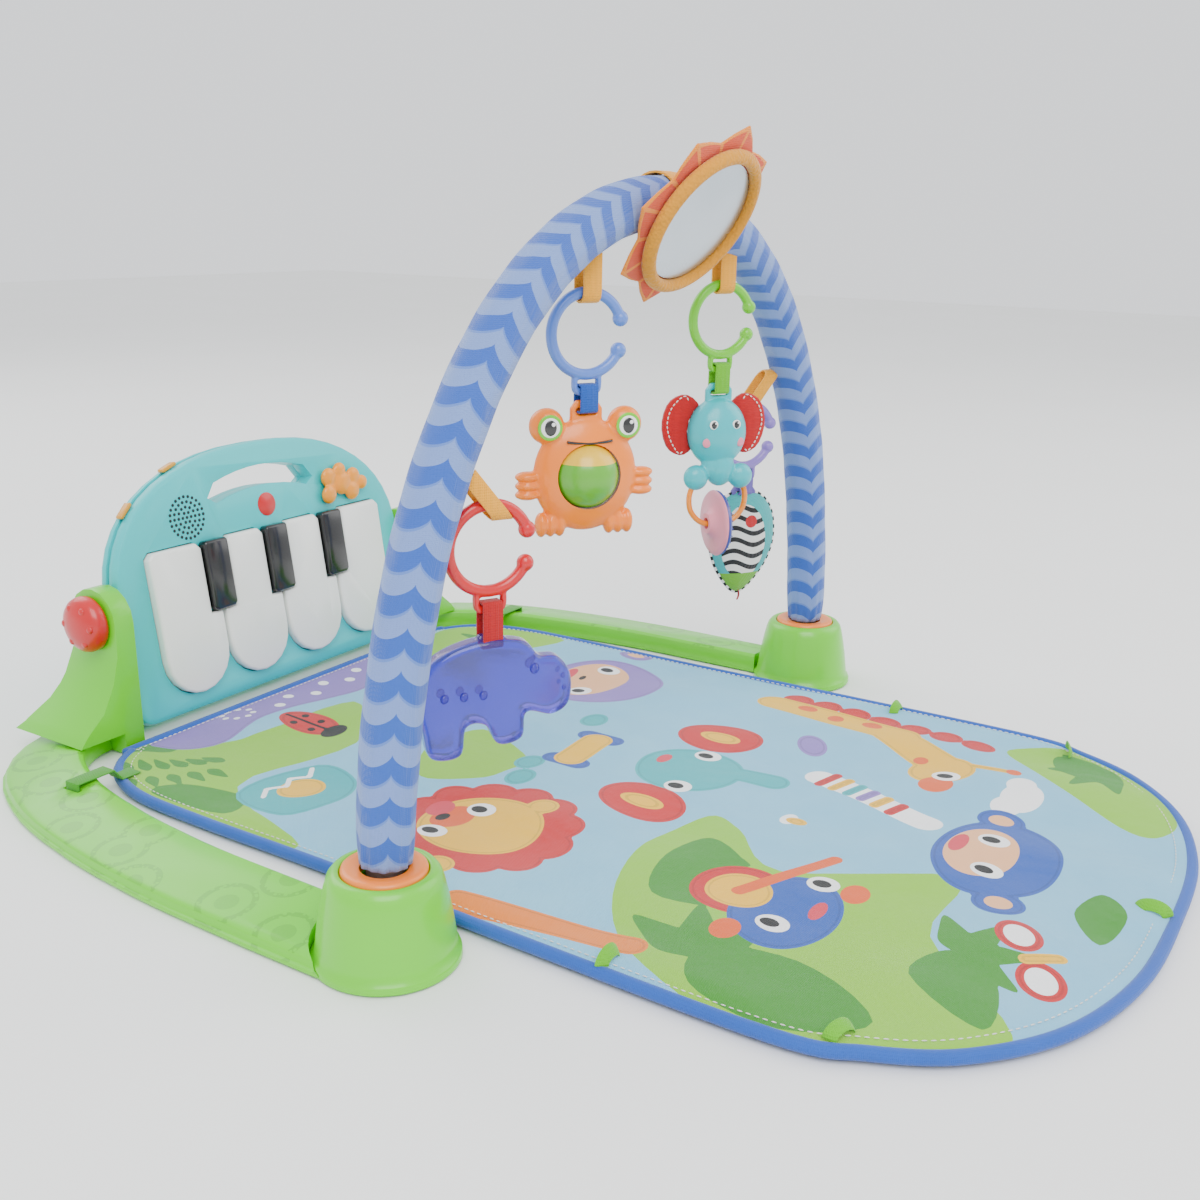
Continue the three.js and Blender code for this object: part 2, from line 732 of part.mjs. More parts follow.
// The strap wraps the sleeve at the top of the arch.
const wrap = new THREE.ExtrudeGeometry(circle(SLEEVE_R + WEB + 1.5, 24, SLEEVE_R + 1.5), {
  depth: 18,
  bevelEnabled: false,
});
const seam = MIRROR_BACK + 0.3;
const seamBlock = block(18, -SLEEVE_R - 2 - seam, 14, 0, (seam - SLEEVE_R - 2) / 2, 0);
const mirrorStrap = join(wrap.rotateY(Math.PI / 2).translate(-9, 0, 0), seamBlock);
piece("mirror_strap", skin(mirrorStrap), finish(0xf6c445, 0.9), mirrorTilt);

// ---------------------------------------------------------------- keyboard
const board = new THREE.Group();
board.position.set(0, PANEL_Y, 0);
board.rotation.x = -PANEL_LEAN * DEG;
gym.add(board);
// The tilt axis seen in the panel's own frame.
const lean = PANEL_LEAN * DEG;
const pivotY = (PIVOT_Y - PANEL_Y) * Math.cos(lean) - PIVOT_Z * Math.sin(lean);
const pivotZ = (PIVOT_Y - PANEL_Y) * Math.sin(lean) + PIVOT_Z * Math.cos(lean);

// The panel's outline, drawn inset: straight sides, a rounded-square arch on top, round bottom corners.
function panelShape(inset) {
  const w = PANEL_HALF - inset;
  const spring = 110;
  const rise = PANEL_TOP - spring - inset;
  const corner = 15 - inset / 2;
  const low = PANEL_LOW + inset;
  const right = [];
  for (let i = 0; i <= 4; i++) {
    const a = (i * 22.5 - 90) * DEG;
    right.push([w - corner + corner * Math.cos(a), low + corner + corner * Math.sin(a)]);
  }
  const n = 2.35;
  for (let i = 0; i < 12; i++) {
    const a = (i * 7.5) * DEG;
    right.push([w * Math.cos(a) ** (2 / n), spring + rise * Math.sin(a) ** (2 / n)]);
  }
  return outline([...right, [0, spring + rise], ...right.map(([x, z]) => [-x, z]).reverse()]);
}

// The carrying slot: a bent oval that follows the top of the panel.
function slotShape(grow) {
  const halfW = 63 + grow;
  const top = 206 + grow;
  const low = 188 - grow;
  const droop = 11;
  const bend = (x) => -droop * (x / 63) ** 2;
  const upper = [];
  const lower = [];
  for (let i = -4; i <= 4; i++) {
    const x = (i / 4) * (halfW - 9);
    upper.push([x, top + bend(x)]);
    lower.unshift([x, low + bend(x)]);
  }
  const end = [halfW, (top + low) / 2 + bend(halfW)];
  return outline([[-end[0], end[1]], ...upper, end, ...lower]);
}

function whiteKeyShape(index, grow) {
  const middleX = (index - 1.5) * KEY_PITCH;
  const half = KEY_PITCH / 2 - 1.7 + grow;
  const notch = BLACK_HALF + 1.2 - grow;
  const leftTop = index === 0 ? -half : -KEY_PITCH / 2 + notch;
  const rightTop = index === 3 ? half : KEY_PITCH / 2 - notch;
  const top = KEY_TOP + grow;
  const round = KEY_LOW + half - grow;
  const points = [];
  for (let i = 0; i <= 10; i++) {
    const a = (180 + i * 18) * DEG;
    points.push([half * Math.cos(a), round + half * Math.sin(a)]);
  }
  const shelf = BLACK_LOW - 1.2 + grow;
  if (index < 3) points.push([half, shelf], [rightTop, shelf]);
  points.push([rightTop, top - 5], [rightTop - 5, top], [leftTop + 5, top], [leftTop, top - 5]);
  if (index > 0) points.push([leftTop, shelf], [-half, shelf]);
  return outline(points.map(([x, z]) => [x + middleX, z]));
}

// Hubs on the panel's sides take the ends of the knobs' screws.
const hubLength = UPRIGHT_IN - GAP - (PANEL_HALF - 8);
const hubs = [-1, 1].map((side) =>
  rodX(11, hubLength, side * (PANEL_HALF - 8 + hubLength / 2), pivotY, pivotZ, 24),
);
const hubBores = [-1, 1].map((side) => rodX(4.4, 24, side * (UPRIGHT_IN - 2), pivotY, pivotZ));

function frontShell() {
  let body = solid(upright(panelShape(0), 0, SPLIT, 5));
  body = body.add(solid(block(2 * PANEL_HALF - 26, 4, 60, 0, SPLIT - 2, 60)));
  body = body.intersect(solid(upright(panelShape(0), 0, SPLIT + 0.01)));
  let pocket = solid(upright(panelShape(SHELL + 2), SHELL, 40));
  pocket = pocket.subtract(solid(upright(slotShape(SHELL), -5, 60)));
  body = body.subtract(pocket);
  for (let i = 0; i < 4; i++) body = body.subtract(solid(upright(whiteKeyShape(i, 0.8), -5, 20)));
  body = body.subtract(solid(upright(slotShape(0), -30, 60)));
  body = body.subtract(solid(rodY(3, 20, 96, 0, 174, 12)));
  for (const hub of hubs) body = body.add(solid(hub));
  for (const bore of hubBores) body = body.subtract(solid(bore));
  return body;
}

const BAY = { x: 0, z: 92, w: 62, h: 58, deep: 12 };
function backShell() {
  let body = solid(upright(panelShape(0), SPLIT - 8, PANEL_T, 5));
  body = body.intersect(solid(upright(panelShape(0), SPLIT + GAP, PANEL_T + 1)));
  let bay = solid(block(BAY.w + 6, BAY.deep + 6, BAY.h + 6, BAY.x, PANEL_T - 3 + BAY.deep / 2, BAY.z));
  body = body.add(upperRange(bay, 1, SPLIT + 4, 100));
  let pocket = solid(upright(panelShape(SHELL + 2), -20, PANEL_T - SHELL));
  pocket = pocket.subtract(solid(upright(slotShape(SHELL), -30, 60)));
  body = body.subtract(pocket);
  body = body.subtract(solid(block(BAY.w, 60, BAY.h, BAY.x, PANEL_T + 12, BAY.z)));
  body = body.subtract(solid(upright(slotShape(0), -30, 60)));
  const hubClear = [-1, 1].map((side) =>
    rodX(11.4, 12, side * (PANEL_HALF - 2), pivotY, pivotZ, 24),
  );
  for (const hub of hubClear) body = body.subtract(solid(hub));
  return body;
}

piece("keyboard_front", skin(frontShell()), aqua(), board);
piece("keyboard_back", skin(backShell()), aqua(), board);
const DOOR_Y = PANEL_T + BAY.deep;
const door = join(
  block(BAY.w + 6, 2.4, BAY.h + 6, BAY.x, DOOR_Y + 1.2 + GAP, BAY.z),
  block(12, 4.4, 5, BAY.x, DOOR_Y + 2.2 + GAP, BAY.z + 24),
);
piece("battery_door", skin(door), aqua(), board);
// Three AA cells stand side by side in a tray.
const CELL = { r: 7.3, long: 50, pitch: 15 };
const cells = [-1, 0, 1].map((i) => {
  const cell = new THREE.CylinderGeometry(CELL.r, CELL.r, CELL.long, 16).rotateX(Math.PI / 2);
  return at(cell, CELL.pitch * i, 26, BAY.z);
});
const tray = block(50, 2, CELL.long + 1, 0, 17.4, BAY.z);
const pack = join(...cells, tray, block(46, 3, CELL.long, 0, 19.4, BAY.z));
piece("battery_pack", skin(pack), finish(0x3a3f45, 0.5), board);
piece("circuit_board", block(118, 1.6, 16, -14, 10.8, 165), finish(0x1f6b3a, 0.5), board);
const coneProfile = [
  [0, 0],
  [18, 0],
  [19, 1.6],
  [12, 5],
  [12, 9],
  [0, 9],
];
const speaker = new THREE.LatheGeometry(coneProfile.map(([r, y]) => new THREE.Vector2(r, y)), 24);
piece("speaker", speaker.translate(-100, SHELL + GAP, 174), finish(0x2a2a2c, 0.6), board);

for (let i = 0; i < 4; i++) {
  const key = upright(whiteKeyShape(i, 0), -7, 6, 2.2);
  piece(`white_key_${i + 1}`, key, finish(0xf6f5f2, 0.25), board);
}
for (let i = 0; i < 3; i++) {
  const x = (i - 1) * KEY_PITCH;
  const shape = outline([
    [x - BLACK_HALF, BLACK_LOW + 3],
    [x - BLACK_HALF + 3, BLACK_LOW],
    [x + BLACK_HALF - 3, BLACK_LOW],
    [x + BLACK_HALF, BLACK_LOW + 3],
    [x + BLACK_HALF, KEY_TOP - 2],
    [x + BLACK_HALF - 2, KEY_TOP],
    [x - BLACK_HALF + 2, KEY_TOP],
    [x - BLACK_HALF, KEY_TOP - 2],
  ]);
  piece(`black_key_${i + 1}`, upright(shape, -11, -GAP, 2), finish(0x17181a, 0.25), board);
}

// A press button shaped as a splayed flower cluster, on a short stem through the face.
const blobs = [
  [0, 0, 11],
  [-17, 8, 9],
  [-19, -8, 9],
  [-2, 12, 8],
  [15, 4, 9],
  [26, -3, 7],
  [12, -9, 9],
];
const button = join(
  ...blobs.map(([x, z, r]) => egg(r, 5, r, 96 + x, -4, 174 + z, 10, 6)),
  block(40, 3, 8, 98, -3, 174),
  rodY(2.5, 12, 96, 2, 174, 10),
);
const stem = upperRange(solid(rodY(2.5, 14, 96, 3, 174, 10)), 1, -4, 9);
const buttonBody = upperRange(button, 1, -20, -2.2).add(stem);
piece("flower_button", skin(buttonBody), finish(0xf6b21b, 0.35), board);

// Two small slide switches on the panel's top edge, lying along it.
for (const [word, angle] of [
  ["power", 38],
  ["volume", 62],
]) {
  const n = 2.35;
  const rise = PANEL_TOP - 110;
  const edge = (deg) =>
    new THREE.Vector2(
      -PANEL_HALF * Math.cos(deg * DEG) ** (2 / n),
      110 + rise * Math.sin(deg * DEG) ** (2 / n),
    );
  const place = edge(angle);
  const along = edge(angle + 1).sub(edge(angle - 1)).normalize();
  const slider = upright(stadium(8, 1.6, 12), 8, 15, 0.6);
  const group = new THREE.Group();
  const lift = 2.1;
  group.position.set(place.x - along.y * lift, 0, place.y + along.x * lift);
  group.rotation.y = -Math.atan2(along.y, along.x);
  board.add(group);
  piece(`${word}_slider`, slider, finish(0xe6b53a, 0.4), group);
}

export default gym;
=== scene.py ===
# %% [markdown]
# # A baby's activity play gym
# The gym has a lime floor base, a quilted mat, a padded arch with four hanging toys and a sun
# mirror, and a kick keyboard that tilts between two uprights. The CAD frame gives every place and
# size. This script makes the looks: smooth mouldings, stuffed fabric, webbing and the mat's print.

# %% Load the frame
import json
import math

import bmesh
import bpy
import numpy as np
from mathutils import Matrix, Vector


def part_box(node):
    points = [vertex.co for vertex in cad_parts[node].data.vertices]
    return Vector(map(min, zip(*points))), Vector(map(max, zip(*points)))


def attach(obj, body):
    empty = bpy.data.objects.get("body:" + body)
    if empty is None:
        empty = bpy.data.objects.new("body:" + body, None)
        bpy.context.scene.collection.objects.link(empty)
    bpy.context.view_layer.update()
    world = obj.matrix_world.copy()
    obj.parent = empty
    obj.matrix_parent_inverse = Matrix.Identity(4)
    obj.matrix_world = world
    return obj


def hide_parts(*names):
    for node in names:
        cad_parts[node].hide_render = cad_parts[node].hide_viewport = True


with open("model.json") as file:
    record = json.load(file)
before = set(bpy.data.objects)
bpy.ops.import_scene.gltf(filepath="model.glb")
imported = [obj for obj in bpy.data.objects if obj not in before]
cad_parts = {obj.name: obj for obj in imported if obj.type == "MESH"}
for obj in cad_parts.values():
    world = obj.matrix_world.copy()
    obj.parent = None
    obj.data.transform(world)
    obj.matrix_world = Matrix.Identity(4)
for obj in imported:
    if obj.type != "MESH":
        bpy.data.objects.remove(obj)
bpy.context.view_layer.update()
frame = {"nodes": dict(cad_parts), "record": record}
nodes = frame["nodes"]
MM = 0.001
body_of = {n: b for b, members in frame["record"]["behaviour"]["bodies"].items() for n in members}


def middle(node):
    low, high = (Vector(corner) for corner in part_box(node))
    return (low + high) / 2


ARCH_Y = middle("foot_left").y
print("nodes", len(nodes), "arch plane at y =", round(ARCH_Y, 4))

# %% [markdown]
# ## Camera, floor and light
# The view is from low down beside the open end, looking across the mat towards the keyboard. A plain
# pale floor and large soft lights show gloss on the plastic without hard shadows.

# %% Camera
forward = Vector((0.80887, 0.51175, -0.28956)).normalized()
right = Vector((0.53916, -0.84201, 0.01796)).normalized()
up = right.cross(forward).normalized()
camera_data = bpy.data.cameras.new("view")
camera_data.lens = 39.70
camera_data.sensor_width = 36
camera_data.shift_x = 0.0084
camera_data.shift_y = 0.0079
camera_data.clip_start = 0.01
camera = bpy.data.objects.new("view", camera_data)
bpy.context.scene.collection.objects.link(camera)
turn = Matrix((right, up, -forward)).transposed().to_4x4()
camera.matrix_world = Matrix.Translation((-0.82369, -0.46966 + ARCH_Y, 0.42608)) @ turn
bpy.context.scene.camera = camera


# %% Small helpers for materials
RICHNESS = 1.4  # deepens every dye a little, so that colours hold under bright light


def colour(code):
    parts = [int(code[i : i + 2], 16) / 255 for i in (0, 2, 4)]
    linear = [c / 12.92 if c <= 0.04045 else ((c + 0.055) / 1.055) ** 2.4 for c in parts]
    return tuple(c**RICHNESS for c in linear) + (1.0,)


class Finish:
    """A material being built, with short calls for its nodes and links."""

    def __init__(self, name, **sockets):
        self.material = bpy.data.materials.new(name)
        self.material.use_nodes = True
        self.tree = self.material.node_tree
        self.shader = self.tree.nodes["Principled BSDF"]
        for key, value in sockets.items():
            self.shader.inputs[key.replace("_", " ")].default_value = value

    def node(self, kind, links=(), **settings):
        made = self.tree.nodes.new("ShaderNode" + kind)
        for key, value in settings.items():
            setattr(made, key, value)
        for socket, source in dict(links).items():
            self.set(made.inputs[socket], source)
        return made

    def set(self, socket, source):
        if isinstance(source, bpy.types.NodeSocket):
            self.tree.links.new(source, socket)
        else:
            socket.default_value = source

    def into(self, socket, source):
        self.set(self.shader.inputs[socket], source)

    def object_space(self):
        return self.node("TexCoord").outputs["Object"]

    def noise(self, scale, detail=3.0, where=None):
        links = {"Scale": scale, "Detail": detail, "Vector": where or self.object_space()}
        return self.node("TexNoise", links).outputs["Fac"]

    def math(self, operation, a, b=0.0, c=0.0):
        return self.node("Math", {0: a, 1: b, 2: c}, operation=operation).outputs[0]

    def scaled(self, value, low, high):
        return self.node("MapRange", {"Value": value, "To Min": low, "To Max": high}).outputs["Result"]

    def mix(self, factor, a, b):
        made = self.node("Mix", data_type="RGBA")
        for socket, source in ((made.inputs[0], factor), (made.inputs[6], a), (made.inputs[7], b)):
            self.set(socket, source)
        return made.outputs[2]

    def bump(self, height, distance, strength=0.5):
        links = {"Height": height, "Distance": distance, "Strength": strength}
        return self.node("Bump", links).outputs["Normal"]


def shade_of(rgba, factor):
    return tuple(min(1.0, c * factor) for c in rgba[:3]) + (1.0,)


# %% [markdown]
# ## Moulded plastic
# Toy plastic is evenly coloured and smooth, with a faint moulding texture. Slow noise shifts the
# colour and the gloss a little, and very fine noise gives the grain, so that no surface is one flat
# value.


# %% Plastic finishes
def plastic(name, code, roughness=0.3, coat=0.3, grain=0.00006, **sockets):
    base = colour(code)
    look = Finish(name, Coat_Weight=coat, Coat_Roughness=0.12, **sockets)
    slow = look.noise(9.0, 2.0)
    fine = look.noise(1400.0, 2.0)
    look.into("Base Color", look.mix(slow, shade_of(base, 0.93), shade_of(base, 1.06)))
    look.into("Roughness", look.scaled(look.noise(60.0), roughness - 0.06, roughness + 0.07))
    look.into("Normal", look.bump(fine, grain, 0.35))
    return look.material


LIME = "82dc00"
lime = plastic("lime_moulding", LIME, 0.32)
orange_ring = plastic("orange_collar", "f79a2c", 0.35)
red_knob = plastic("red_knob", "d6202b", 0.3)
red_link = plastic("red_link", "d9202e", 0.28)
blue_link = plastic("blue_link", "7296da", 0.3)
green_link = plastic("green_link", "86d613", 0.28)
purple_link = plastic("purple_link", "a18bd0", 0.3)
aqua = plastic("aqua_panel", "3fd0d2", 0.38, 0.15)
key_white = plastic("key_white", "f4f3ef", 0.22, 0.5)
key_black = plastic("key_black", "141416", 0.2, 0.5)
amber = plastic("amber_toy", "ff9c00", 0.3)
amber_deep = plastic("amber_hoop", "f7a31c", 0.28)
teal_toy = plastic("teal_toy", "38c8cf", 0.3)
pink_disc = plastic("pink_disc", "eda6b6", 0.4, 0.15)
blue_disc = plastic("ribbed_blue_disc", "5c68b5", 0.35)
gold = plastic("gold_switch", "e2ae37", 0.35)
gold_flower = plastic("gold_flower", "ffb000", 0.3)
dark = plastic("dark_works", "2c2f33", 0.5, 0.0)
circuit_green = plastic("circuit_green", "1d6a3c", 0.45)
eye_black = plastic("eye_black", "101012", 0.12, 0.8)
eye_white = plastic("eye_white", "fbfbf8", 0.25)
cheek_pink = plastic("cheek_pink", "ef9fb2", 0.4)
steel = plastic("steel_tube", "b9bdc0", 0.35, 0.0, Metallic=0.9)
print("plastics", len(bpy.data.materials))

# %% [markdown]
# The rails carry a shallow moulded pattern of ovals and dotted rings. Cells of a Voronoi texture
# place one oval in each cell, and a band of the distance inside it becomes the raised ring.


# %% Rail finish with moulded ovals
def rail_finish():
    look = Finish("lime_rail", Coat_Weight=0.25, Coat_Roughness=0.15)
    base = colour(LIME)
    where = look.object_space()
    flat = look.node("Mapping", {"Vector": where, "Scale": (17.0, 17.0, 0.0)}).outputs[0]
    cells = look.node(
        "TexVoronoi", {"Vector": flat, "Scale": 1.0, "Randomness": 0.75}, voronoi_dimensions="2D"
    )
    distance = cells.outputs["Distance"]
    ring = look.math("COMPARE", distance, 0.3, 0.035)
    centre = look.math("LESS_THAN", distance, 0.13)
    dots = look.node("TexVoronoi", {"Vector": where, "Scale": 260.0}).outputs["Distance"]
    dotted = look.math("MULTIPLY", ring, look.math("GREATER_THAN", dots, 0.35))
    mark = look.math("MAXIMUM", look.math("MULTIPLY", centre, 0.8), dotted)
    top = look.node("SeparateXYZ", {0: look.node("NewGeometry").outputs["Normal"]}).outputs[2]
    mark = look.math("MULTIPLY", mark, look.math("GREATER_THAN", top, 0.6))
    tone = look.mix(look.noise(9.0, 2.0), shade_of(base, 0.95), shade_of(base, 1.05))
    look.into("Base Color", look.mix(look.math("MULTIPLY", mark, 0.55), tone, colour("6cba10")))
    look.into("Roughness", look.scaled(look.noise(60.0), 0.28, 0.42))
    look.into("Normal", look.bump(mark, 0.0006, 0.7))
    return look.material


lime_rail = rail_finish()

# %% [markdown]
# ## Fabric
# Woven cloth scatters light softly, with a sheen at grazing angles and a fine over-and-under
# weave. Webbing has coarser ribs across its width, and terry is a deep pile of loops.


# %% Fabric finishes
def weave_height(look, pitch, where=None):
    source = where or look.object_space()
    parts = look.node("SeparateXYZ", {0: source}).outputs
    waves = [look.math("SINE", look.math("MULTIPLY", part, 2 * math.pi / pitch)) for part in parts]
    return look.math(
        "ADD", look.math("MULTIPLY", waves[0], waves[1]), look.math("MULTIPLY", waves[2], 0.5)
    )


def fabric(name, code, pitch=0.0011, depth=0.00012, rough=0.85, pile=0.0):
    base = colour(code)
    look = Finish(name, Sheen_Weight=0.25, Sheen_Roughness=0.4)
    height = weave_height(look, pitch)
    if pile:
        height = look.node("TexVoronoi", {"Vector": look.object_space(), "Scale": 420.0}).outputs[
            "Distance"
        ]
    tone = look.mix(look.noise(38.0), shade_of(base, 0.88), shade_of(base, 1.08))
    thread = look.scaled(height, 0.0, 0.35)
    look.into("Base Color", look.mix(thread, tone, shade_of(base, 0.72)))
    look.into("Roughness", look.scaled(look.noise(300.0), rough - 0.08, rough + 0.06))
    look.into("Normal", look.bump(height, pile or depth, 0.6))
    return look.material


web_yellow = fabric("yellow_webbing", "f5bb42", 0.0016, 0.0003)
web_red = fabric("red_webbing", "c5202b", 0.0016, 0.0003)
web_blue = fabric("blue_webbing", "2f72c2", 0.0016, 0.0003)
web_green = fabric("green_webbing", "84ce1e", 0.0016, 0.0003)
web_purple = fabric("purple_webbing", "8d7fc4", 0.0016, 0.0003)
web_tie = fabric("tie_webbing", "5fb52a", 0.0016, 0.0003)
piping_blue = fabric("blue_piping", "3f78c8", 0.0014, 0.0002)
ear_red = fabric("red_plush", "d3242d", 0.0012, 0.0003)
terry = fabric("gold_terry", "e3ab3c", rough=0.95, pile=0.0012)
thread_white = fabric("white_thread", "f4efe8", 0.0009)
print("materials", len(bpy.data.materials))

# %% [markdown]
# ## Making meshes
# A few helpers make most pieces: a lathe for round mouldings, a sweep for tubes, a plate with rounded
# edges, and a moulding that melts simple solids into one skin by a voxel remesh.


# %% Mesh helpers
def add_piece(name, mesh, material, body, *stands_for, auto_smooth=None):
    piece = bpy.data.objects.new(name, mesh)
    bpy.context.scene.collection.objects.link(piece)
    if material:
        mesh.materials.clear()
        mesh.materials.append(material)
    if auto_smooth is None:
        mesh.polygons.foreach_set("use_smooth", [True] * len(mesh.polygons))
    else:
        mark_sharp(mesh, auto_smooth)
    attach(piece, body)
    if stands_for:
        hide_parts(*stands_for)
    return piece


def mark_sharp(mesh, degrees):
    shell = bmesh.new()
    shell.from_mesh(mesh)
    for face in shell.faces:
        face.smooth = True
    for edge in shell.edges:
        edge.smooth = edge.calc_face_angle(0.0) < math.radians(degrees)
    shell.to_mesh(mesh)
    shell.free()


def mesh_of(name, points, faces):
    mesh = bpy.data.meshes.new(name)
    mesh.from_pydata([tuple(p) for p in points], [], faces)
    mesh.update()
    return mesh


def lathe(name, profile, centre, axis, steps=96):
    """Turns a profile of (radius, height) in millimetres about an axis through centre."""
    turn = Vector((0, 0, 1)).rotation_difference(Vector(axis)).to_matrix()
    shell = bmesh.new()
    rings = []
    for radius, height in profile:
        if radius == 0:
            rings.append([shell.verts.new(turn @ Vector((0, 0, height * MM)) + centre)])
            continue
        ring = []
        for i in range(steps):
            angle = 2 * math.pi * i / steps
            spot = Vector((radius * math.cos(angle), radius * math.sin(angle), height)) * MM
            ring.append(shell.verts.new(turn @ spot + centre))
        rings.append(ring)
    for a, b in zip(rings, rings[1:]):
        for i in range(steps):
            j = (i + 1) % steps
            corners = [a[i % len(a)], a[j % len(a)], b[j % len(b)], b[i % len(b)]]
            unique = list(dict.fromkeys(corners))
            if len(unique) > 2:
                shell.faces.new(unique)
    bmesh.ops.remove_doubles(shell, verts=shell.verts, dist=1e-6)
    bmesh.ops.recalc_face_normals(shell, faces=shell.faces)
    mesh = bpy.data.meshes.new(name)
    shell.to_mesh(mesh)
    shell.free()
    return mesh


def sweep(name, path, radius, sides=20, closed=False, flat=1.0):
    """A round tube along a path. radius is a number or a function of (turn, share of the path)."""
    count = len(path)
    points, faces, lengths = [], [], [0.0]
    for a, b in zip(path, path[1:]):
        lengths.append(lengths[-1] + (b - a).length)
    normal = None
    for i, spot in enumerate(path):
        before = path[(i - 1) % count] if closed or i else spot
        after = path[(i + 1) % count] if closed or i < count - 1 else spot
        along = (after - before).normalized()
        if normal is None:
            normal = along.orthogonal().normalized()
        normal = (normal - along * normal.dot(along)).normalized()
        side = along.cross(normal)
        for k in range(sides):
            angle = 2 * math.pi * k / sides
            size = radius(k / sides, lengths[i] / lengths[-1]) if callable(radius) else radius
            points.append(spot + (normal * math.cos(angle) + side * math.sin(angle) * flat) * size)
    spans = count if closed else count - 1
    for i in range(spans):
        j = (i + 1) % count
        for k in range(sides):
            m = (k + 1) % sides
            faces.append((i * sides + k, i * sides + m, j * sides + m, j * sides + k))
    if not closed:
        faces.append(tuple(range(sides))[::-1])
        faces.append(tuple((count - 1) * sides + k for k in range(sides)))
    mesh = mesh_of(name, points, faces)
    uv = mesh.uv_layers.new(name="UVMap")
    grid = np.zeros((len(mesh.loops), 2))
    for polygon in mesh.polygons:
        for loop in polygon.loop_indices:
            vertex = mesh.loops[loop].vertex_index
            grid[loop] = ((vertex % sides) / sides, lengths[min(vertex // sides, count - 1)])
        if len(polygon.vertices) == 4:
            us = grid[list(polygon.loop_indices), 0]
            if us.max() - us.min() > 0.5:
                grid[list(polygon.loop_indices), 0] = np.where(us < 0.5, us + 1, us)
    uv.data.foreach_set("uv", grid.ravel())
    return mesh


def tidy_faces(mesh, merge=2e-5):
    shell = bmesh.new()
    shell.from_mesh(mesh)
    bmesh.ops.remove_doubles(shell, verts=shell.verts, dist=merge)
    bmesh.ops.recalc_face_normals(shell, faces=shell.faces)
    shell.to_mesh(mesh)
    shell.free()
    return mesh


def applied(name, mesh, *modifiers):
    """The mesh after modifiers, given as (type, settings)."""
    holder = bpy.data.objects.new(name + "_holder", mesh)
    bpy.context.scene.collection.objects.link(holder)
    for kind, settings in modifiers:
        modifier = holder.modifiers.new(kind.lower(), kind)
        for key, value in settings.items():
            setattr(modifier, key, value)
    bpy.context.view_layer.update()
    graph = bpy.context.evaluated_depsgraph_get()
    made = bpy.data.meshes.new_from_object(holder.evaluated_get(graph))
    made.name = name
    bpy.data.objects.remove(holder)
    return made


def plate(name, outline, thickness, rounding, holes=(), place=Matrix(), steps=4):
    """A flat plate in local X and Y with rounded edges, its middle at local Z of 0. Millimetres."""
    curve = bpy.data.curves.new(name, "CURVE")
    curve.dimensions = "2D"
    curve.fill_mode = "BOTH"
    curve.extrude = max(thickness / 2 - rounding, 0) * MM
    curve.bevel_depth = rounding * MM
    curve.bevel_resolution = steps
    curve.offset = -rounding * MM
    for loop in (outline, *holes):
        spline = curve.splines.new("POLY")
        spline.points.add(len(loop) - 1)
        spline.use_cyclic_u = True
        for point, (x, y) in zip(spline.points, loop):
            point.co = (x * MM, y * MM, 0, 1)
    holder = bpy.data.objects.new(name + "_curve", curve)
    bpy.context.scene.collection.objects.link(holder)
    bpy.context.view_layer.update()
    made = bpy.data.meshes.new_from_object(holder)
    bpy.data.objects.remove(holder)
    made.transform(place)
    return tidy_faces(made, 1e-6)


def round_loop(points, steps=6):
    """A smooth closed line through a few points, by Catmull and Rom."""
    spots = [np.array(p, float) for p in points]
    count = len(spots)
    out = []
    for i in range(count):
        a, b, c, d = (spots[(i + k) % count] for k in (-1, 0, 1, 2))
        for k in range(steps):
            t = k / steps
            out.append(
                0.5 * (
                    2 * b
                    + (c - a) * t
                    + (2 * a - 5 * b + 4 * c - d) * t**2
                    + (3 * b - a - 3 * c + d) * t**3
                )
            )
    return [tuple(p) for p in out]


def egg(centre, radii, turn=Matrix.Identity(3)):
    shell = bmesh.new()
    bmesh.ops.create_icosphere(shell, subdivisions=4, radius=1.0)
    for vertex in shell.verts:
        vertex.co = turn @ Vector([c * r * MM for c, r in zip(vertex.co, radii)]) + Vector(centre)
    mesh = bpy.data.meshes.new("egg")
    shell.to_mesh(mesh)
    shell.free()
    return mesh


def moulding(name, parts, voxel=0.9, smoothing=6):
    """Melts closed meshes into one skin."""
    shell = bmesh.new()
    for part in parts:
        shell.from_mesh(part)
    mesh = bpy.data.meshes.new(name)
    shell.to_mesh(mesh)
    shell.free()
    remesh = ("REMESH", {"mode": "VOXEL", "voxel_size": voxel * MM, "use_smooth_shade": True})
    soften = ("SMOOTH", {"factor": 0.5, "iterations": smoothing})
    return applied(name, mesh, remesh, soften)


def from_cad(node, material, angle=35, bevel=0.6, suffix="_moulding"):
    """A smooth copy of a CAD piece, with its sharp edges rounded a little."""
    mesh = tidy_faces(nodes[node].data.copy())
    shell = bmesh.new()
    shell.from_mesh(mesh)
    bmesh.ops.dissolve_limit(shell, angle_limit=0.02, verts=shell.verts, edges=shell.edges)
    shell.to_mesh(mesh)
    shell.free()
    settings = {
        "width": bevel * MM,
        "segments": 2,
        "limit_method": "ANGLE",
        "angle_limit": math.radians(angle),
        "use_clamp_overlap": True,
        "harden_normals": False,
    }
    mesh = applied(node + suffix, mesh, ("BEVEL", settings))
    return add_piece(node + suffix, mesh, material, body_of[node], node, auto_smooth=angle)


print("helpers ready")

# %% [markdown]
# ## Base
# Rails, uprights and cross member keep their CAD shape with softened edges. The feet, collars and
# knobs are round mouldings, so they are turned again with many more steps.

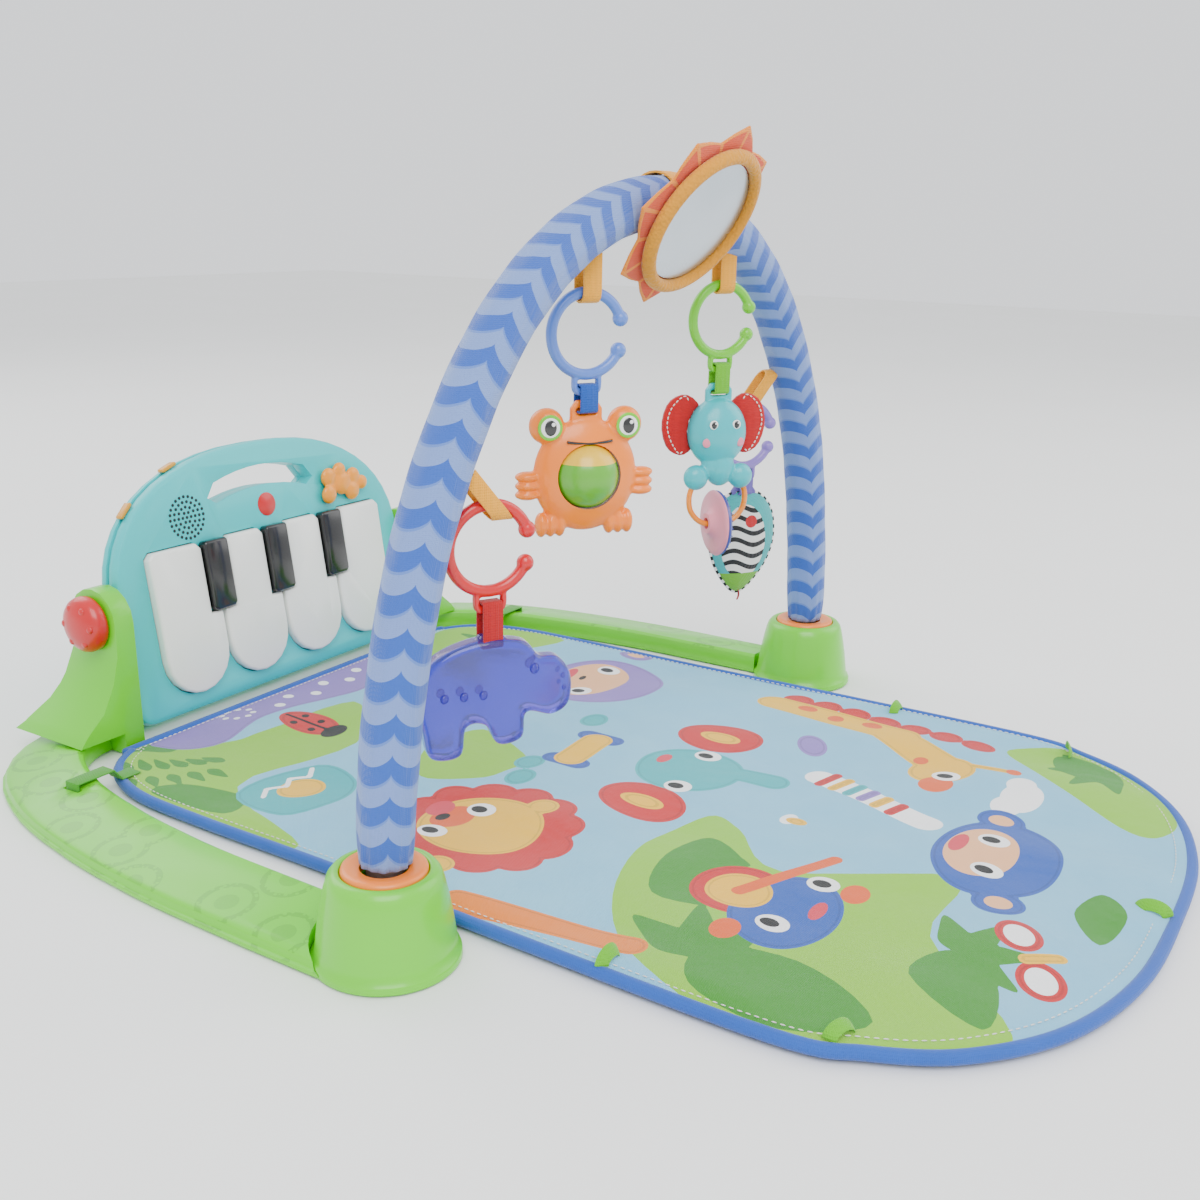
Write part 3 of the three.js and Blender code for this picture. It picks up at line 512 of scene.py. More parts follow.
# %% Rails, uprights and cross member
for word in ("left", "right"):
    from_cad(f"rail_{word}", lime_rail, 30, 0.8)
    from_cad(f"upright_{word}", lime, 40, 1.8)
from_cad("cross_member", lime_rail, 30, 1.2)

# %% Feet, collars and knobs
FOOT = [
    (0, 0),
    (45, 0),
    (45, 3),
    (44.4, 4.6),
    (42.6, 5.8),
    (41.8, 12),
    (39.8, 26),
    (37.2, 40),
    (35.4, 48),
    (33.8, 53),
    (31.4, 56),
    (28.6, 57),
    (26.9, 56.6),
    (26.3, 55.6),
    (26.3, 51.7),
    (14.3, 51.7),
    (14.3, 12),
    (0, 12),
]
COLLAR = [
    (14.6, 52), (26, 52), (26, 56.2), (25.4, 57.8), (23.9, 58.7), (20, 58.7), (14.6, 57.6),
    (14.6, 52),
]
KNOB = [
    (0, -29),
    (3.9, -29),
    (3.9, 0),
    (20.5, 0),
    (22, 1.2),
    (22.4, 3),
    (22.4, 6.5),
    (21.4, 9.5),
    (19, 12.2),
    (14.5, 14.8),
    (8, 16.4),
    (0, 17),
]
for side, word in ((-1, "left"), (1, "right")):
    foot = middle(f"foot_{word}")
    foot.z = 0
    mesh = lathe(f"foot_{word}_cup", FOOT, foot, (0, 0, 1))
    add_piece(f"foot_{word}_cup", mesh, lime, "base", f"foot_{word}", auto_smooth=50)
    mesh = lathe(f"collar_{word}_ring", COLLAR, foot, (0, 0, 1))
    add_piece(f"collar_{word}_ring", mesh, orange_ring, "base", f"collar_{word}", auto_smooth=50)
    hub = middle(f"knob_{word}")
    hub.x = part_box(f"knob_{word}")[1 if side > 0 else 0][0] - side * 17 * MM
    cap = lathe("cap", KNOB, hub, (side, 0, 0))
    add_piece(f"knob_{word}_cap", cap, red_knob, f"knob_{word}", f"knob_{word}", auto_smooth=50)
    dimples = []
    for i in range(6):
        angle = i * math.pi / 3
        spot = hub + Vector((side * 13.2, 15 * math.cos(angle), 15 * math.sin(angle))) * MM
        dimples.append(egg(spot, (2.2, 3.4, 3.4)))
    add_piece(f"knob_{word}_grips", moulding("grips", dimples, 0.7, 2), red_knob, f"knob_{word}")
print("base pieces done")

# %% [markdown]
# ## Keyboard
# The panel leans back 9.1 degrees. Its shells and keys keep the CAD shape with soft edges. The speaker's
# holes are a repeat: Geometry Nodes set a small dark disc, painted shade for a hole, on each point of a
# pattern.

# %% Keyboard shells, keys, button and switches
LEAN = math.radians(9.1)
BOARD = Matrix.Translation((0, ARCH_Y + 0.371, 0)) @ Matrix.Rotation(-LEAN, 4, "X")


def on_board(x, y, z):
    return BOARD @ (Vector((x, y, z)) * MM)


from_cad("keyboard_front", aqua, 35, 0.7)
from_cad("keyboard_back", aqua, 35, 0.7)
from_cad("battery_door", aqua, 35, 0.6)
for i in range(1, 5):
    from_cad(f"white_key_{i}", key_white, 30, 1.0)
for i in range(1, 4):
    from_cad(f"black_key_{i}", key_black, 30, 1.0)
for word in ("power", "volume"):
    from_cad(f"{word}_slider", gold, 35, 0.4)
for node, material in (("battery_pack", dark), ("circuit_board", circuit_green), ("speaker", dark)):
    from_cad(node, material, 30, 0.2)

blobs = [(0, 0, 11), (-17, 8, 9), (-19, -8, 9), (-2, 12, 8), (15, 4, 9), (26, -3, 7), (12, -9, 9)]
petals = [egg(on_board(96 + x, -4.6, 174 + z), (r, 4.4, r)) for x, z, r in blobs]
petals.append(egg(on_board(98, -3.6, 174), (22, 3, 7)))
add_piece(
    "flower_cluster",
    moulding("flower_cluster", petals),
    gold_flower,
    "flower_button",
    "flower_button",
)
badge = lathe(
    "badge",
    [(0, 1.2), (9.2, 1.2), (10.4, 0.4), (10.4, -0.6), (0, -0.6)],
    on_board(2, 0, 170),
    BOARD.to_3x3() @ Vector((0, -1, 0)),
)
add_piece("panel_badge", badge, red_knob, "keyboard", auto_smooth=40)


# %% Geometry Nodes for repeats
def node_group(name, inputs):
    group = bpy.data.node_groups.new(name, "GeometryNodeTree")
    group.interface.new_socket("Geometry", in_out="INPUT", socket_type="NodeSocketGeometry")
    for key, kind, value in inputs:
        socket = group.interface.new_socket(key, in_out="INPUT", socket_type=kind)
        if value is not None:
            socket.default_value = value
    group.interface.new_socket("Geometry", in_out="OUTPUT", socket_type="NodeSocketGeometry")
    return group


def repeat_group(name, along):
    """Sets one small mesh on each point, or on evenly spaced points along a line and turned with it."""
    group = node_group(
        name,
        [
            ("Item", "NodeSocketObject", None),
            ("Spacing", "NodeSocketFloat", 0.004),
            ("Finish", "NodeSocketMaterial", None),
        ],
    )
    start = group.nodes.new("NodeGroupInput")
    end = group.nodes.new("NodeGroupOutput")
    put = group.nodes.new("GeometryNodeInstanceOnPoints")
    item = group.nodes.new("GeometryNodeObjectInfo")
    real = group.nodes.new("GeometryNodeRealizeInstances")
    paint = group.nodes.new("GeometryNodeSetMaterial")
    link = group.links.new
    link(start.outputs["Item"], item.inputs["Object"])
    link(item.outputs["Geometry"], put.inputs["Instance"])
    if along:
        line = group.nodes.new("GeometryNodeMeshToCurve")
        spaced = group.nodes.new("GeometryNodeCurveToPoints")
        spaced.mode = "LENGTH"
        link(start.outputs["Geometry"], line.inputs[0])
        link(line.outputs[0], spaced.inputs["Curve"])
        link(start.outputs["Spacing"], spaced.inputs["Length"])
        link(spaced.outputs["Points"], put.inputs["Points"])
        link(spaced.outputs["Rotation"], put.inputs["Rotation"])
    else:
        link(start.outputs["Geometry"], put.inputs["Points"])
    link(put.outputs[0], real.inputs[0])
    link(real.outputs[0], paint.inputs["Geometry"])
    link(start.outputs["Finish"], paint.inputs["Material"])
    link(paint.outputs[0], end.inputs[0])
    return group


stitch_along = repeat_group("stitches_along_a_line", True)
item_on_points = repeat_group("item_on_points", False)


def run_group(name, group, base, item, spacing, material, body, *stands_for):
    holder = bpy.data.objects.new(name + "_base", base)
    item_object = bpy.data.objects.new(name + "_item", item)
    for made in (holder, item_object):
        bpy.context.scene.collection.objects.link(made)
    modifier = holder.modifiers.new("repeat", "NODES")
    modifier.node_group = group
    keys = {s.name: s.identifier for s in group.interface.items_tree if s.in_out == "INPUT"}
    modifier[keys["Item"]] = item_object
    modifier[keys["Spacing"]] = spacing
    modifier[keys["Finish"]] = material
    bpy.context.view_layer.update()
    graph = bpy.context.evaluated_depsgraph_get()
    mesh = bpy.data.meshes.new_from_object(holder.evaluated_get(graph))
    for made in (holder, item_object):
        bpy.data.objects.remove(made)
    return add_piece(name, mesh, material, body, *stands_for)


def line_mesh(points, closed=True):
    count = len(points)
    edges = [(i, (i + 1) % count) for i in range(count if closed else count - 1)]
    mesh = bpy.data.meshes.new("line")
    mesh.from_pydata([tuple(p) for p in points], edges, [])
    return mesh


def stitches(
    name, points, body, material=thread_white, spacing=4.2, size=(0.45, 0.45, 1.4), closed=True
):
    item = egg((0, 0, 0), size)
    return run_group(name, stitch_along, line_mesh(points, closed), item, spacing * MM, material, body)


hole_points = [on_board(-88, -0.2, 174)]
for ring in range(1, 5):
    for i in range(6 * ring):
        angle = i * math.pi / (3 * ring)
        hole_points.append(
            on_board(-88 + 4.4 * ring * math.cos(angle), -0.2, 174 + 4.4 * ring * math.sin(angle))
        )
# Each dark disc sits on the panel's face as painted shade, standing in for the dark inside of a speaker
# hole.
hole_shade_disc = egg((0, 0, 0), (1.35, 0.5, 1.35), Matrix.Rotation(-LEAN, 3, "X"))
run_group("speaker_holes", item_on_points, line_mesh(hole_points, False), hole_shade_disc, 0.0, dark, "keyboard")
print("keyboard done, speaker holes", len(hole_points))

# %% [markdown]
# ## Arch sleeve
# The padded sleeve is a printed tube, slightly fuller between its puckers. It is swept along the
# arch's own curve, and its UV runs round the tube and along it in metres, which carries the rows of
# scallops in two blues.


# %% Arch curve, tubes and sleeve
ARCH_H = 431.5  # height of the arch's centreline
ARCH_HALF = 300
HEM_H = 60
SLEEVE_R = 17.6
TUBE_R = 11.5


def arch_point(angle):
    x = -math.copysign(ARCH_HALF * abs(math.cos(angle)) ** (2 / 2.05), math.cos(angle))
    return Vector((x * MM, ARCH_Y, ARCH_H * MM * math.sin(angle) ** (2 / 2.44)))


def scallops():
    look = Finish("scalloped_sleeve", Sheen_Weight=0.3, Sheen_Roughness=0.4)
    where = look.node("UVMap", uv_map="UVMap").outputs[0]
    parts = look.node("SeparateXYZ", {0: where}).outputs
    round_it = look.math("MULTIPLY", parts[0], 4 * 2 * math.pi)
    bump = look.math("ABSOLUTE", look.math("SINE", look.math("MULTIPLY", round_it, 0.5)))
    bump = look.math("MULTIPLY", look.math("POWER", bump, 0.6), 0.0085)
    row = look.math("DIVIDE", look.math("ADD", parts[1], bump), 0.0236)
    band = look.math("FRACT", row)
    light = look.math("LESS_THAN", band, 0.5)
    seam = look.math("LESS_THAN", look.math("ABSOLUTE", look.math("SUBTRACT", band, 0.5)), 0.035)
    tone = look.mix(light, colour("4f7cca"), colour("93abdb"))
    tone = look.mix(seam, tone, colour("7c9bd6"))
    weave = weave_height(look, 0.0011)
    look.into("Base Color", tone)
    look.into("Roughness", look.scaled(look.noise(300.0), 0.75, 0.92))
    folds = look.math("ADD", look.math("MULTIPLY", weave, 0.15), look.noise(55.0, 3.0))
    look.into("Normal", look.bump(folds, 0.0016, 0.6))
    return look.material


sleeve_print = scallops()
hem = math.asin((HEM_H / ARCH_H) ** 1.22)
angles = [hem + (math.pi - 2 * hem) * i / 420 for i in range(421)]
sleeve_path = [arch_point(a) for a in angles]


def sleeve_radius(turn, share):
    pucker = 0.35 * math.sin(14 * math.pi * turn + 40 * share) * math.cos(90 * share)
    hem_pull = 2.6 * (math.exp(-share * 60) + math.exp(-(1 - share) * 60))
    gather = 0.7 * math.exp(-min(share, 1 - share) * 40) * math.sin(26 * math.pi * turn)
    return (SLEEVE_R + pucker - hem_pull + gather) * MM


sleeve = add_piece(
    "printed_sleeve",
    sweep("sleeve", sleeve_path, sleeve_radius, 64),
    sleeve_print,
    "arch",
    "arch_sleeve",
)
for word in ("left", "right"):
    tube_angles = [0.012 + (math.pi / 2 - 0.014) * i / 90 for i in range(91)]
    line = [arch_point(a if word == "left" else math.pi - a) for a in tube_angles]
    tube = sweep(f"tube_{word}", [p for p in line if p.z > 0.013], TUBE_R * MM, 24)
    add_piece(f"steel_tube_{word}", tube, steel, "arch", f"arch_tube_{word}", auto_smooth=40)
print("arch done")

# %% [markdown]
# ## Links, loops and straps
# A link is one moulding: an open ring with a bead at each end and a slotted tab. Each is melted from
# simple solids. The loops and straps are flat webbing, copied from the CAD with softened edges.

# %% Hanging points and links
HANG = {
    "red": (-217, -15, 264, red_link, web_red),
    "blue": (-91, 0, 379, blue_link, web_blue),
    "green": (99, 0, 377, green_link, web_green),
    "purple": (195, 21, 274, purple_link, web_purple),
}
STRAP_TOP = -58.3  # top of a strap below the top of the link's wire
TAB_MIDDLE = -57.6
RING_R = 26.2  # centreline of a link's ring
WIRE_R = 3.7
RING_YAW = -28  # degrees
TOY_YAW = -38
RED_STRAP, BLUE_STRAP, GREEN_STRAP, PURPLE_STRAP = 29, 19, 24, 19  # strap lengths


def hanging(name, yaw):
    x, y, top = HANG[name][:3]
    return Matrix.Translation(Vector((x * MM, y * MM + ARCH_Y, (top - WIRE_R) * MM))) @ Matrix.Rotation(
        math.radians(yaw), 4, "Z"
    )


XZ = Matrix.Rotation(math.pi / 2, 4, "X")
for name, (_, _, _, material, web) in HANG.items():
    place = hanging(name, RING_YAW)
    ring = []
    for i in range(61):
        a = math.radians(24 + 308 * i / 60)
        ring.append(place @ (Vector((RING_R * math.cos(a), 0, RING_R * math.sin(a) - RING_R)) * MM))
    parts = [sweep("ring", ring, WIRE_R * MM, 20)]
    for degrees in (20, 334):
        a = math.radians(degrees)
        parts.append(
            egg(
                place @ (Vector((RING_R * math.cos(a), 0, RING_R * math.sin(a) - RING_R)) * MM),
                (5.3, 5.3, 5.3),
            )
        )
    tab = round_loop(
        [(-10, -5), (-10, 5), (-5, 8.4), (5, 8.4), (10, 5), (10, -5), (5, -8.4), (-5, -8.4)], 4
    )
    slot_hole = [(-7.2, -3.2), (7.2, -3.2), (7.2, 2.1), (-7.2, 2.1)]
    tab_place = place @ Matrix.Translation((0, 0, TAB_MIDDLE * MM)) @ XZ
    parts.append(plate("tab", tab, 5.2, 1.2, [slot_hole], tab_place))
    link = moulding(f"link_{name}_ring", parts, 0.7, 4)
    add_piece(f"link_{name}_ring", link, material, f"link_{name}", f"link_{name}")
    from_cad(f"loop_{name}", web_yellow, 35, 0.3)
    from_cad(f"strap_{name}", web, 35, 0.3)
print("links done")

# %% [markdown]
# ## Toys
# The hippo is clear tinted plastic with a moulded eye, nostrils and ribs. The frog is a glossy shell
# round a roller ball. The elephant is glossy, with plush ears, and holds a hoop with two discs. The
# zebra is a stuffed crinkle pad with a black and white edge.

# %% Hippo teether
clear = Finish("tinted_clear", Transmission_Weight=0.8, IOR=1.3, Coat_Weight=0.5)
clear.into("Base Color", clear.mix(clear.noise(30.0), colour("7d70e0"), colour("9388ee")))
clear.into("Roughness", clear.scaled(clear.noise(60.0), 0.1, 0.24))
clear.into("Normal", clear.bump(clear.noise(260.0), 0.0003, 0.4))
tinted = clear.material
HIPPO = [
    (-12, 4), (10, 4), (22, 1), (30, -8), (42, -10), (50, -22), (49, -40), (38, -47), (22, -44),
    (19, -60), (4, -63), (-4, -50), (-16, -50), (-20, -68), (-38, -68), (-43, -50), (-47, -26),
    (-36, -6),
]
LUG = [(-11, 0), (11, 0), (11, 8), (7, 13.2), (-7, 13.2), (-11, 8)]
LUG_HOLE = [(-7.2, 3.8), (7.2, 3.8), (7.2, 7.8), (-7.2, 7.8)]


def lug_plate(place, strap_end):
    return plate(
        "lug",
        LUG,
        4.8,
        1.0,
        [LUG_HOLE],
        place @ Matrix.Translation((0, 0, (strap_end - 4.8) * MM)) @ XZ,
    )


place = hanging("red", TOY_YAW)
top = STRAP_TOP - RED_STRAP
side = plate(
    "hippo",
    round_loop(HIPPO),
    16,
    4.5,
    (),
    place @ Matrix.Translation((0, 0, (top + 1) * MM)) @ XZ,
    6,
)
parts = [side, lug_plate(place, top)]
add_piece("hippo_body", moulding("hippo_body", parts, 0.9, 5), tinted, "hippo", "hippo_teether")
marks = []
for front in (-1, 1):
    for x, z, r in (
        (26, -14, 3.6), (44, -20, 1.9), (45, -28, 1.9), (-30, -28, 3.2), (-18, -28, 3.2),
        (-6, -28, 3.2),
    ):
        marks.append(egg(place @ (Vector((x, front * 7.4, top + z)) * MM), (r, r * 0.7, r)))
add_piece("hippo_marks", moulding("hippo_marks", marks, 0.7, 2), tinted, "hippo")

# %% Frog and its ball
place = hanging("blue", TOY_YAW)
FROG_Z = STRAP_TOP - BLUE_STRAP - 41
yaw = Matrix.Rotation(math.radians(TOY_YAW), 3, "Z")


def at_frog(x, y, z):
    return place @ (Vector((x, y, FROG_Z + z)) * MM)


def half_shell(name, sign):
    lumps = [egg(at_frog(0, 0, 0), (36, 12.5, 38), yaw)]
    for s in (-1, 1):
        lumps.append(egg(at_frog(s * 27, 0, 33), (12, 9, 12), yaw))
        for k in (-1, 0, 1):
            lumps.append(egg(at_frog(s * 40, 0, -6 + 6 * k), (8.5, 6.4, 3.6), yaw))
            lumps.append(egg(at_frog(s * 24 + 6.5 * k, 0, -33), (3.9, 6.6, 8.5), yaw))
    lumps.append(lug_plate(place, STRAP_TOP - BLUE_STRAP))
    shell = bmesh.new()
    body = moulding(name, lumps, 1.0, 5)
    shell.from_mesh(body)
    centre = at_frog(0, 0, 0)
    normal = yaw @ Vector((0, 1, 0))
    cut = bmesh.ops.bisect_plane(
        shell, geom=shell.verts[:] + shell.edges[:] + shell.faces[
            :
        ], plane_co=centre + normal * sign * 0.15 * MM,
        plane_no=normal * -sign, clear_outer=True,
    )
    edges = [e for e in cut["geom_cut"] if isinstance(e, bmesh.types.BMEdge)]
    bmesh.ops.holes_fill(shell, edges=edges, sides=0)
    bmesh.ops.recalc_face_normals(shell, faces=shell.faces)
    mesh = bpy.data.meshes.new(name)
    shell.to_mesh(mesh)
    shell.free()
    cutter = bpy.data.objects.new("cutter", egg(centre, (24.1, 24.1, 24.1)))
    bpy.context.scene.collection.objects.link(cutter)
    mesh = applied(
        name, mesh, ("BOOLEAN", {"operation": "DIFFERENCE", "object": cutter, "solver": "EXACT"})
    )
    bpy.data.objects.remove(cutter)
    return mesh


for name, sign in (("frog_front", -1), ("frog_back", 1)):
    add_piece(name + "_shell", half_shell(name, sign), amber, "frog", name, auto_smooth=50)
ball = lathe(
    "ball",
    [(22.5 * math.sin(i * math.pi / 48), 22.5 * math.cos(i * math.pi / 48)) for i in range(49)],
    at_frog(0, 0, 0),
    (0, 0, 1),
)
two_tone = Finish("two_tone_ball", Coat_Weight=0.3)
height = two_tone.node("SeparateXYZ", {0: two_tone.object_space()}).outputs[2]
upper = two_tone.math("GREATER_THAN", height, at_frog(0, 0, 9).z)
two_tone.into("Base Color", two_tone.mix(upper, colour("7cc142"), colour("f3cf3a")))
two_tone.into("Roughness", two_tone.scaled(two_tone.noise(60.0), 0.25, 0.4))
two_tone.into("Normal", two_tone.bump(two_tone.noise(900.0), 0.0001, 0.3))
add_piece("roller_ball", ball, two_tone.material, "frog_ball", "frog_ball")


def eye(name, middle_at, radius, body, turned=yaw, ring=None):
    """A flat toy eye that faces local -Y: white, a tall black pupil and a highlight."""
    layers = [
        (radius, 0.9, 0.0, eye_white),
        (radius * 0.62, 0.8, -0.75, eye_black),
        (radius * 0.2, 0.5, -1.5, eye_white),
    ]
    if ring:
        layers.insert(0, (radius * 1.28, 0.8, 0.35, ring))
    for i, (r, depth, forward_mm, material) in enumerate(layers):
        tall = 1.25 if i == len(layers) - 2 else 1.0
        shift = Vector((0.25 * radius, 0, 0.35 * radius)) * MM if i == len(layers) - 1 else Vector()
        spot = middle_at + turned @ (Vector((0, forward_mm, 0)) * MM + shift)
        add_piece(f"{name}_{i}", egg(spot, (r, depth * 1.1, r * tall), turned), material, body)


for s in (-1, 1):
    eye(f"frog_eye_{s + 1}", at_frog(s * 27, -8.6, 33), 6.6, "frog", ring=green_link)
smile = [at_frog(20 * math.sin(t / 10), -9.4, 26 - 4 * math.cos(t / 10)) for t in range(-9, 10)]
add_piece("frog_smile", sweep("smile", smile, 0.9 * MM, 10), eye_black, "frog")

# %% Elephant, hoop and discs
place = hanging("green", TOY_YAW)
HEAD_Z = STRAP_TOP - GREEN_STRAP - 30
HAND_Z = HEAD_Z - 34
DISC_Z = HAND_Z - 38 + 0.8


def at_head(x, y, z):
    return place @ (Vector((x, y, z)) * MM)


lumps = [
    egg(at_head(0, 0, HEAD_Z), (24, 17, 27), yaw),
    egg(at_head(2, -3, HEAD_Z - 27), (12, 11, 15), yaw),
    egg(at_head(-19, -6, HAND_Z), (10, 8, 10), yaw),
    egg(at_head(19, -6, HAND_Z), (10, 8, 10), yaw),
    egg(at_head(0, -4, HAND_Z + 8), (14, 8, 12), yaw),
    lug_plate(place, STRAP_TOP - GREEN_STRAP),
]
add_piece(
    "elephant_body", moulding("elephant_body", lumps, 0.9, 5), teal_toy, "elephant", "elephant_head"
)
for s in (-1, 1):
    eye(f"elephant_eye_{s + 1}", at_head(s * 9.5, -15.2, HEAD_Z + 8), 3.6, "elephant")
    cheek = egg(at_head(s * 14, -13.4, HEAD_Z - 6), (3.6, 1.2, 3.6), yaw)
    add_piece(f"elephant_cheek_{s + 1}", cheek, cheek_pink, "elephant")
HOOP = [
    (-20, 4), (-21.5, -6), (-24, -16), (-22, -27), (-13, -36), (0, -38), (13, -36), (22, -27),
    (24, -16), (21.5, -6), (20, 4),
]
hoop_points = round_loop(HOOP, 6)[: 6 * 10 + 1]
hoop = [at_head(x, -6, HAND_Z + z) for x, z in hoop_points]
add_piece("hoop_wire", sweep("hoop", hoop, 2.2 * MM, 20), amber_deep, "elephant", "elephant_hoop")
axis = yaw @ Vector((1, 0, 0))
PINK = [
    (4.6, -0.2), (25.4, -0.2), (26, -1.2), (25, -2.4), (21, -2.8), (14, -3.6), (9.4, -6), (8, -8.4),
    (4.6, -8.4), (4.6, -0.2),
]
BLUE = [
    (4.6, 0.2), (25, 0.2), (25.6, 1.6), (24, 3.2), (16.5, 3.9), (9, 4.6), (6.6, 7), (4.6, 7),
    (4.6, 0.2),
]
spot = at_head(0, -6, DISC_Z)
add_piece(
    "pink_wheel",
    lathe("pink_wheel", PINK, spot, axis),
    pink_disc,
    "spinner_pink",
    "spinner_pink",
    auto_smooth=50,
)
add_piece(
    "blue_wheel",
    lathe("blue_wheel", BLUE, spot, axis),
    blue_disc,
    "spinner_blue",
    "spinner_blue",
    auto_smooth=50,
)
ribs = []
for i in range(24):
    a = 2 * math.pi * i / 24
    out = yaw @ Vector((0, math.cos(a), math.sin(a)))
    ribs.append(
        sweep("rib", [spot + axis * 3.9 * MM + out * r * MM for r in (10, 17, 24)], 0.55 * MM, 8)
    )
add_piece("blue_wheel_ribs", moulding("ribs", ribs, 0.5, 1), blue_disc, "spinner_blue")
for s, word in ((-1, "left"), (1, "right")):
    from_cad(f"elephant_ear_{word}", ear_red, 30, 1.2)
    outline_mm = round_loop([(s * 24, 22), (s * 36, 17), (s * 40.5, 2), (s * 35, -14), (s * 27, -18)], 8)[
        :32
    ]
    edge = [at_head(x, 3.7, HEAD_Z + 4 + z) for x, z in outline_mm]
    stitches(f"ear_stitch_{word}", edge, "elephant", spacing=3.6, size=(0.5, 0.5, 1.3), closed=False)
print("elephant done")

# %% Zebra pad
place = hanging("purple", TOY_YAW)
top = STRAP_TOP - PURPLE_STRAP


def zebra_finish():
    look = Finish("zebra_cloth", Sheen_Weight=0.25)
    parts = look.node("SeparateXYZ", {0: look.node("UVMap", uv_map="UVMap").outputs[0]}).outputs
    wave = look.math("MULTIPLY", look.math("SINE", look.math("MULTIPLY", parts[0], 0.16)), 3.0)
    stripes = look.math("SINE", look.math("MULTIPLY", look.math("ADD", parts[1], wave), 0.62))
    inside = look.math(
        "ADD",
        look.math("POWER", look.math("DIVIDE", parts[0], 21.0), 2.0),
        look.math("POWER", look.math("DIVIDE", look.math("ADD", parts[1], 38.0), 33.0), 2.0),
    )
    white = look.mix(look.math("GREATER_THAN", stripes, 0.25), colour("f3f1ec"), colour("17171a"))
    tone = look.mix(look.math("LESS_THAN", inside, 1.0), colour("4fc3c4"), white)
    dot = look.math(
        "ADD",
        look.math("POWER", look.math("SUBTRACT", parts[0], 6.0), 2.0),
        look.math("POWER", look.math("ADD", parts[1], 20.0), 2.0),
    )
    tone = look.mix(look.math("LESS_THAN", dot, 30.0), tone, colour("d62a34"))
    tone = look.mix(look.math("LESS_THAN", parts[1], -66.0), tone, colour("8ac73f"))
    look.into("Base Color", tone)
    look.into("Roughness", look.scaled(look.noise(300.0), 0.72, 0.9))
    look.into(
        "Normal",
        look.bump(
            look.math(
                "ADD", weave_height(look, 0.0012), look.math("MULTIPLY", look.noise(70.0), 6.0)
            ),
            0.0005,
            0.6,
        ),
    )
    return look.material


def stuffed(name, outline_mm, thickness, place_at, pitch=1.6):
    """A closed pillow over an outline, full in the middle and thin at the seam, with flat UV in mm."""
    loop = np.array(outline_mm)
    low, high = loop.min(0), loop.max(0)
    curve_mesh = plate(name, outline_mm, 0.8, 0.2, (), Matrix())
    mesh = applied(name, curve_mesh, ("REMESH", {"mode": "VOXEL", "voxel_size": pitch * MM / 2}))
    points = np.array([v.co for v in mesh.vertices]) / MM
    nearest = np.full(len(points), 1e9)
    for a, b in zip(loop, np.roll(loop, -1, 0)):
        along = b - a
        t = np.clip(((points[:, :2] - a) @ along) / (along @ along), 0, 1)
        nearest = np.minimum(nearest, np.linalg.norm(points[:, :2] - (a + t[:, None] * along), axis=1))
    reach = 0.45 * min(high - low)
    rise = (thickness / 2 - 0.4) * np.sqrt(np.clip(1 - (1 - np.clip(nearest / reach, 0, 1)) ** 2, 0, 1))
    points[:, 2] += np.sign(points[:, 2]) * rise
    uv = mesh.uv_layers.new(name="UVMap")
    corner = np.array([l.vertex_index for l in mesh.loops])
    uv.data.foreach_set("uv", points[corner, :2].ravel())
    mesh.vertices.foreach_set("co", (points * MM).ravel())
    mesh.transform(place_at)
    return mesh


ZEBRA = round_loop(
    [
        (0, 6), (18, 1), (29, -16), (30, -42), (19, -66), (-2, -84), (-20, -66), (-29, -42),
        (-28, -16), (-16, 1),
    ]
)
pad_place = place @ Matrix.Translation((0, 0, (top - 3) * MM)) @ XZ
pad = add_piece(
    "zebra_cushion", stuffed("zebra", ZEBRA, 15, pad_place), zebra_finish(), "zebra", "zebra_pad"
)
edge_points = [pad_place @ Vector((x * MM, y * MM, 0)) for x, y in ZEBRA]
striped = Finish("striped_edge", Sheen_Weight=0.2)
run = striped.node("SeparateXYZ", {0: striped.node("UVMap", uv_map="UVMap").outputs[0]}).outputs[1]
striped.into(
    "Base Color",
    striped.mix(
        striped.math(
            "GREATER_THAN", striped.math("SINE", striped.math("MULTIPLY", run, 900.0)), 0.0
        ),
        colour("f4f2ee"),
        colour("19191c"),
    ),
)
striped.into("Roughness", striped.scaled(striped.noise(200.0), 0.7, 0.9))
striped.into("Normal", striped.bump(weave_height(striped, 0.001), 0.0002, 0.5))
add_piece(
    "zebra_edge",
    sweep("zebra_edge", edge_points, 1.5 * MM, 12, closed=True),
    striped.material,
    "zebra",
)
add_piece("zebra_lug", lug_plate(place, top), web_purple, "zebra", auto_smooth=40)
# A short red ribbon tail hangs from the pad's point.
tail = [pad_place @ (Vector((-2 + 3 * math.sin(k / 3), -80 - 1.5 * k, 0)) * MM) for k in range(9)]
add_piece(
    "zebra_tail",
    sweep("tail", tail, lambda turn, share: (3.6 - 2.2 * share) * MM, 12, flat=0.25),
    web_red,
    "zebra",
    auto_smooth=40,
)
print("zebra done")

# %% [markdown]
# ## Sun mirror
# A felt sun of eight rays sits behind a terry ring, with a soft mirror in the ring.

# %% Sun, ring and mirror
MIRROR = (
    Matrix.Translation((0, ARCH_Y, ARCH_H * MM))
    @ Matrix.Rotation(math.radians(-4), 4, "Z")
    @ Matrix.Rotation(math.radians(32), 4, "X")
    @ Matrix.Translation((0, 0, 6.8 * MM))
)
sun_line = []
for i in range(32):
    a = math.radians(i * 11.25 - 5)
    r = [69, 62.5, 57.5, 62.5][i % 4] - 0.5
    sun_line.append((r * math.cos(a), r * math.sin(a)))


